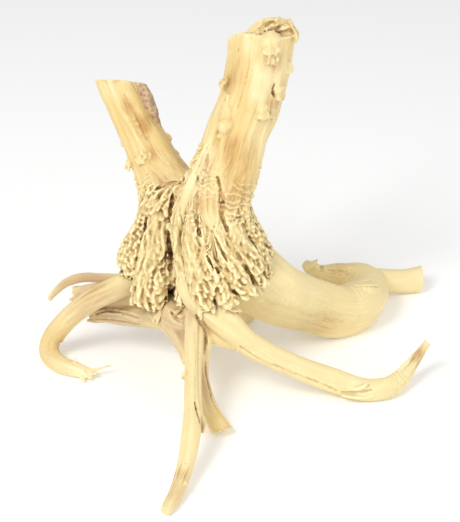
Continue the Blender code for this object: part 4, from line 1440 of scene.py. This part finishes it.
class WoodNodes(NodeTree):
    """The wood's own effects, built from what is kept on the mesh's points."""

    def __init__(self, tree, picked):
        super().__init__(tree)
        self.colours = {name: (*getattr(picked, name), 1) for name in SpiderwoodColours.__annotations__}
        self.course = self.attribute("course", "Vector")
        self.burl = self.attribute("burl")
        self.lined = self.attribute("lined")
        self.grain = placed(self, grain_group(), {
            "Course": self.course, "Width": 0.9, "Length": 60.0, "Waver": 0.3})
        self.wrinkles = placed(self, wrinkle_group(), {"Course": self.course, "Spacing": 2.0})

    def noise(self, scale, detail, roughness):
        """Noise over the wood, from 0 to 1."""
        node = self.add("ShaderNodeTexNoise", {
            "Vector": self.course, "Scale": scale, "Detail": detail, "Roughness": roughness})
        return node.outputs["Fac"]

    def tinted(self, base, name):
        """The base with a tint laid over it where its patches are."""
        share = self.math("MULTIPLY", self.attribute(name), STRENGTHS[name], clamp=True)
        return self.mix(share, base, self.colours[name])

    def bare_wood(self):
        """The wood's colour with its grain and stains, painted shade in some rust patches, and pale breaks
        with painted highlight.
        """
        streaks = self.between(self.grain.outputs["Streaks"], 0.34, 0.7)
        streaked = self.math("MULTIPLY", self.math("MULTIPLY", streaks, STRENGTHS["streaks"]), self.lined)
        base = self.mix(streaked, self.colours["cream"], self.colours["honey"])
        mottle = self.between(self.noise(0.04, 3.0, 0.55), 0.38, 0.62)
        base = self.mix(self.math("MULTIPLY", mottle, STRENGTHS["mottle"]), base, self.colours["sand"])
        lines = self.math("MULTIPLY", self.between(self.grain.outputs["Fibres"], 0.53, 0.66),
                          STRENGTHS["lines"])
        base = self.mix(self.math("MULTIPLY", lines, self.lined), base, self.colours["rust"])
        base = self.tinted(base, "honey")
        # Rust stains, and painted shade where the patches stand for shade.
        rust = self.math("MULTIPLY", self.attribute("rust"), self.math("ADD", streaks, 0.4), clamp=True)
        base = self.mix(self.math("MULTIPLY", rust, STRENGTHS["rust"]), base, self.colours["rust"])
        # Pale breaks and painted highlight, then the pink patches.
        return self.tinted(self.tinted(base, "pale"), "pink")

    def colour(self):
        """The bare wood with the burl's skin, the bark and the pores, with painted shade in its crevices and
        painted highlight on its crests.
        """
        # Painted shade in the creases of the burl's fine wrinkles.
        skin = self.mix(self.wrinkles.outputs["Height"], self.colours["burl_shade"], self.colours["burl"])
        base = self.mix(self.math("MULTIPLY", self.burl, STRENGTHS["burl"]), self.bare_wood(), skin)
        # Painted shade on the sides and undersides that face away from the lamps.
        base = self.tinted(base, "grey")
        specks = self.between(self.noise(0.4, 5.0, 0.7), 0.42, 0.62)
        bark = self.mix(specks, self.colours["bark"], self.colours["bark_dark"])
        base = self.mix(self.attribute("bark"), base, bark)
        pores = placed(self, pore_group(), {"Course": self.course, "Spacing": 5.0, "Size": 0.13})
        shown = self.math("MULTIPLY", pores.outputs["Pores"], STRENGTHS["pores"])
        base = self.mix(shown, base, self.colours["rust"])
        strength = self.math("ADD", self.math("MULTIPLY", self.burl, BURL_SHADE_STRENGTH), SHADE_STRENGTH)
        # Painted shade in furrows and deep places, and painted highlight on crests.
        shaded = placed(self, crevice_group(), {
            "Colour": base, "Open": self.attribute("open"), "Near": self.attribute("near"),
            "Crest": self.attribute("crest"), "Strength": strength, "Light": self.colours["tip"]})
        return shaded.outputs["Colour"]

    def relief(self):
        """The fine relief of the grain and of the burl's wrinkles."""
        height = self.math("ADD", self.math("MULTIPLY", self.grain.outputs["Streaks"], 0.45),
                           self.math("MULTIPLY", self.grain.outputs["Fibres"], 0.3))
        height = self.math("MULTIPLY", height, self.math("ADD", self.math("MULTIPLY", self.lined, 0.7), 0.2))
        wrinkled = self.math("MULTIPLY", self.wrinkles.outputs["Height"],
                             self.math("MULTIPLY", self.burl, 0.9))
        height = self.math("ADD", height, wrinkled)
        return self.add("ShaderNodeBump", {"Height": height, "Strength": 0.5, "Distance": RELIEF_HEIGHT})


def wood_material(picked):
    """Bare, dry wood: cream and honey grain, rusty heart, pale nubs with painted highlight, and crevices
    browned with stain and painted shade.
    """
    material = bpy.data.materials.new("bare spiderwood")
    material.use_nodes = True
    nodes = WoodNodes(material.node_tree, picked)
    shader = material.node_tree.nodes["Principled BSDF"]
    rough = nodes.math("ADD", nodes.math("MULTIPLY", nodes.grain.outputs["Fibres"], 0.25), 0.42)
    material.node_tree.links.new(nodes.colour(), shader.inputs["Base Color"])
    material.node_tree.links.new(rough, shader.inputs["Roughness"])
    material.node_tree.links.new(nodes.relief().outputs["Normal"], shader.inputs["Normal"])
    shader.inputs["Specular IOR Level"].default_value = 0.35
    return material


def colour(label, description, *value):
    """A colour that can be picked in the panel."""
    return bpy.props.FloatVectorProperty(
        name=label, description=description, default=value, min=0, max=1, subtype="COLOR")


class SpiderwoodColours(bpy.types.PropertyGroup):
    """Colours of the wood"""

    cream: colour("Cream", "Bare wood between the grain's streaks", 0.90, 0.76, 0.41)
    honey: colour("Honey", "Streaks of the grain and warm patches", 0.78, 0.56, 0.22)
    sand: colour("Sand", "Broad dull patches in the bare wood", 0.76, 0.61, 0.32)
    # Rust stains, pores and grain lines, and also the painted shade of the rust patches named for shade.
    rust: colour("Rust", "Stains, pores and the grain's dark lines", 0.50, 0.25, 0.07)
    # Fresh breaks, and painted highlight on faces and ridges that catch the light.
    pale: colour("Pale", "Fresh breaks and worn ridges", 0.92, 0.80, 0.48)
    burl: colour("Burl", "The burl's skin", 0.88, 0.70, 0.32)
    # Painted shade for the creases of the burl's fine wrinkles.
    burl_shade: colour("Burl creases", "Wrinkles in the burl's skin", 0.62, 0.41, 0.15)
    # The nubs' pale tips, and the painted highlight on crests.
    tip: colour("Tips", "Crests of the nubs and ridges", 0.99, 0.88, 0.51)
    # Painted shade for the sides and undersides that face away from the lamps.
    grey: colour("Grey", "Weathered sides and undersides", 0.50, 0.39, 0.24)
    pink: colour("Pink", "Pinkish wood of the thin roots and the web", 0.62, 0.41, 0.24)
    bark: colour("Bark", "The strip of bark on the left stem", 0.62, 0.42, 0.27)
    bark_dark: colour("Bark specks", "Dark specks in the bark", 0.34, 0.20, 0.12)


class SpiderwoodSizes(bpy.types.PropertyGroup):
    """Sizes of the wood's skin"""

    core_voxel: bpy.props.FloatProperty(
        name="Core fineness", description="Voxel of the wood under the nubs, in mm", default=1.5, min=0.5)
    skin_voxel: bpy.props.FloatProperty(
        name="Skin fineness", description="Voxel of the whole skin, in mm", default=0.75, min=0.4)
    piece_triangles: bpy.props.IntProperty(
        name="Triangles", description="Triangles kept in each of the two pieces", default=194000, min=10000)
    nub_gap: bpy.props.FloatProperty(
        name="Nub gap", description="Distance between the burl's nubs, in mm", default=3.2, min=1)
    nub_radius: bpy.props.FloatProperty(
        name="Nub radius", description="Radius of the burl's largest nubs, in mm", default=1.75, min=0.5)
    rays: bpy.props.IntProperty(
        name="Rays", description="Directions tried for each point's crevice shade", default=20, min=4)


class SpiderwoodStudio(bpy.types.PropertyGroup):
    """The studio round the wood"""

    view_height: bpy.props.FloatProperty(
        name="View height", description="Angle that the camera looks down at", default=math.radians(30),
        subtype="ANGLE")
    view_distance: bpy.props.FloatProperty(
        name="View distance", description="From the camera to the wood", default=1.1, unit="LENGTH")
    pixel: bpy.props.FloatProperty(
        name="Pixel", description="What one pixel of the picture spans at the wood", default=0.00074,
        unit="LENGTH", precision=5)
    floor_colour: bpy.props.FloatVectorProperty(
        name="Floor", description="Colour of the floor", default=(0.95, 0.95, 0.95), subtype="COLOR")
    key_power: bpy.props.FloatProperty(
        name="Key light", description="Power of the large lamp at the upper left", default=9.5, unit="POWER")
    fill_power: bpy.props.FloatProperty(
        name="Fill light", description="Power of the lamp at the right", default=5.5, unit="POWER")
    sky: bpy.props.FloatProperty(
        name="Sky", description="Strength of the light from all round", default=0.62)


class SPIDERWOOD_OT_grow(bpy.types.Operator):
    """Grow the burl, and the stems and roots that leave it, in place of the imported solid"""

    bl_idname = "spiderwood.grow"
    bl_label = "Grow the wood"

    def execute(self, context):
        material = wood_material(context.scene.spiderwood_colours)
        for piece in grow_pieces(context.scene.spiderwood_sizes):
            piece.data.materials.clear()
            piece.data.materials.append(material)
            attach(piece, "root")
            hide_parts("spiderwood")
        return {"FINISHED"}


def add_lamp(name, power, size, place, target):
    """A square soft lamp that faces the target."""
    lamp = bpy.data.lights.new(name, "AREA")
    lamp.energy = power
    lamp.size = size
    made = bpy.data.objects.new(name, lamp)
    bpy.context.scene.collection.objects.link(made)
    made.location = place
    made.rotation_euler = (Vector(target) - Vector(place)).to_track_quat("-Z", "Y").to_euler()


# How far the floor reaches, and how much it is lifted towards the white of the studio.
FLOOR_REACH = 6.0
FLOOR_GLOW = 0.12


def add_floor(paint):
    """A wide pale floor."""
    mesh = bpy.data.meshes.new("floor")
    corners = [(x * FLOOR_REACH, y * FLOOR_REACH, 0) for x, y in ((-1, -1), (1, -1), (1, 1), (-1, 1))]
    mesh.from_pydata(corners, [], [(0, 1, 2, 3)])
    floor = bpy.data.objects.new("floor", mesh)
    bpy.context.scene.collection.objects.link(floor)
    material = bpy.data.materials.new("pale floor")
    material.use_nodes = True
    shader = material.node_tree.nodes["Principled BSDF"]
    shader.inputs["Base Color"].default_value = (*paint, 1)
    shader.inputs["Roughness"].default_value = 0.85
    shader.inputs["Emission Color"].default_value = (*paint, 1)
    shader.inputs["Emission Strength"].default_value = FLOOR_GLOW
    mesh.materials.append(material)


# The picture's height in pixels, the camera's sensor in mm, and the point that the picture is centred on.
PICTURE_HEIGHT = 522
SENSOR_WIDTH = 36.0
VIEW_TARGET = (np.array((26.0, 0.0, 91.0)) - PLAN_MIDDLE) * MM


def add_camera(studio, target):
    """The camera at the photograph's angle."""
    height = studio.view_height
    forward = Vector((0, math.cos(height), -math.sin(height)))
    data = bpy.data.cameras.new("camera")
    data.sensor_width = SENSOR_WIDTH
    data.lens = studio.view_distance / studio.pixel / PICTURE_HEIGHT * data.sensor_width
    camera = bpy.data.objects.new("camera", data)
    bpy.context.scene.collection.objects.link(camera)
    camera.location = target - forward * studio.view_distance
    camera.rotation_euler = forward.to_track_quat("-Z", "Y").to_euler()
    bpy.context.scene.camera = camera


# Where the two lamps stand, and the sides of their squares.
KEY_PLACE = (-0.6, -0.7, 1.1)
KEY_SIZE = 0.5
FILL_PLACE = (1.1, -0.7, 0.7)
FILL_SIZE = 1.2


class SPIDERWOOD_OT_studio(bpy.types.Operator):
    """Set the floor, the soft light and the camera"""

    bl_idname = "spiderwood.studio"
    bl_label = "Set the studio"

    def execute(self, context):
        studio = context.scene.spiderwood_studio
        target = Vector(VIEW_TARGET)
        add_floor(studio.floor_colour)
        add_lamp("key", studio.key_power, KEY_SIZE, KEY_PLACE, target)
        add_lamp("fill", studio.fill_power, FILL_SIZE, FILL_PLACE, target)
        add_camera(studio, target)
        world = bpy.data.worlds.new("studio")
        world.use_nodes = True
        world.node_tree.nodes["Background"].inputs["Color"].default_value = (1, 1, 1, 1)
        world.node_tree.nodes["Background"].inputs["Strength"].default_value = studio.sky
        context.scene.world = world
        context.scene.view_settings.view_transform = "Standard"
        return {"FINISHED"}


class SPIDERWOOD_PT_panel(bpy.types.Panel):
    """Lists the steps that make the spiderwood"""

    bl_label = "Spiderwood"
    bl_space_type = "VIEW_3D"
    bl_region_type = "UI"
    bl_category = "Spiderwood"

    def draw(self, context):
        for scene_name, group in GROUPS.items():
            for name in group.__annotations__:
                self.layout.prop(getattr(context.scene, scene_name), name)
        for operator in OPERATORS:
            self.layout.operator(operator.bl_idname)


OPERATORS = (SPIDERWOOD_OT_grow, SPIDERWOOD_OT_studio)
GROUPS = {
    "spiderwood_sizes": SpiderwoodSizes,
    "spiderwood_colours": SpiderwoodColours,
    "spiderwood_studio": SpiderwoodStudio,
}
CLASSES = (*GROUPS.values(), *OPERATORS, SPIDERWOOD_PT_panel)


def register():
    """Adds the properties, the operators and the panel."""
    for kind in CLASSES:
        bpy.utils.register_class(kind)
    for name, group in GROUPS.items():
        setattr(bpy.types.Scene, name, bpy.props.PointerProperty(type=group))


def unregister():
    """Removes the properties, the operators and the panel."""
    for name in GROUPS:
        delattr(bpy.types.Scene, name)
    for kind in reversed(CLASSES):
        bpy.utils.unregister_class(kind)


def main():
    """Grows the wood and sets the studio."""
    register()
    bpy.ops.spiderwood.grow()
    bpy.ops.spiderwood.studio()


if __name__ == "__main__":
    main()
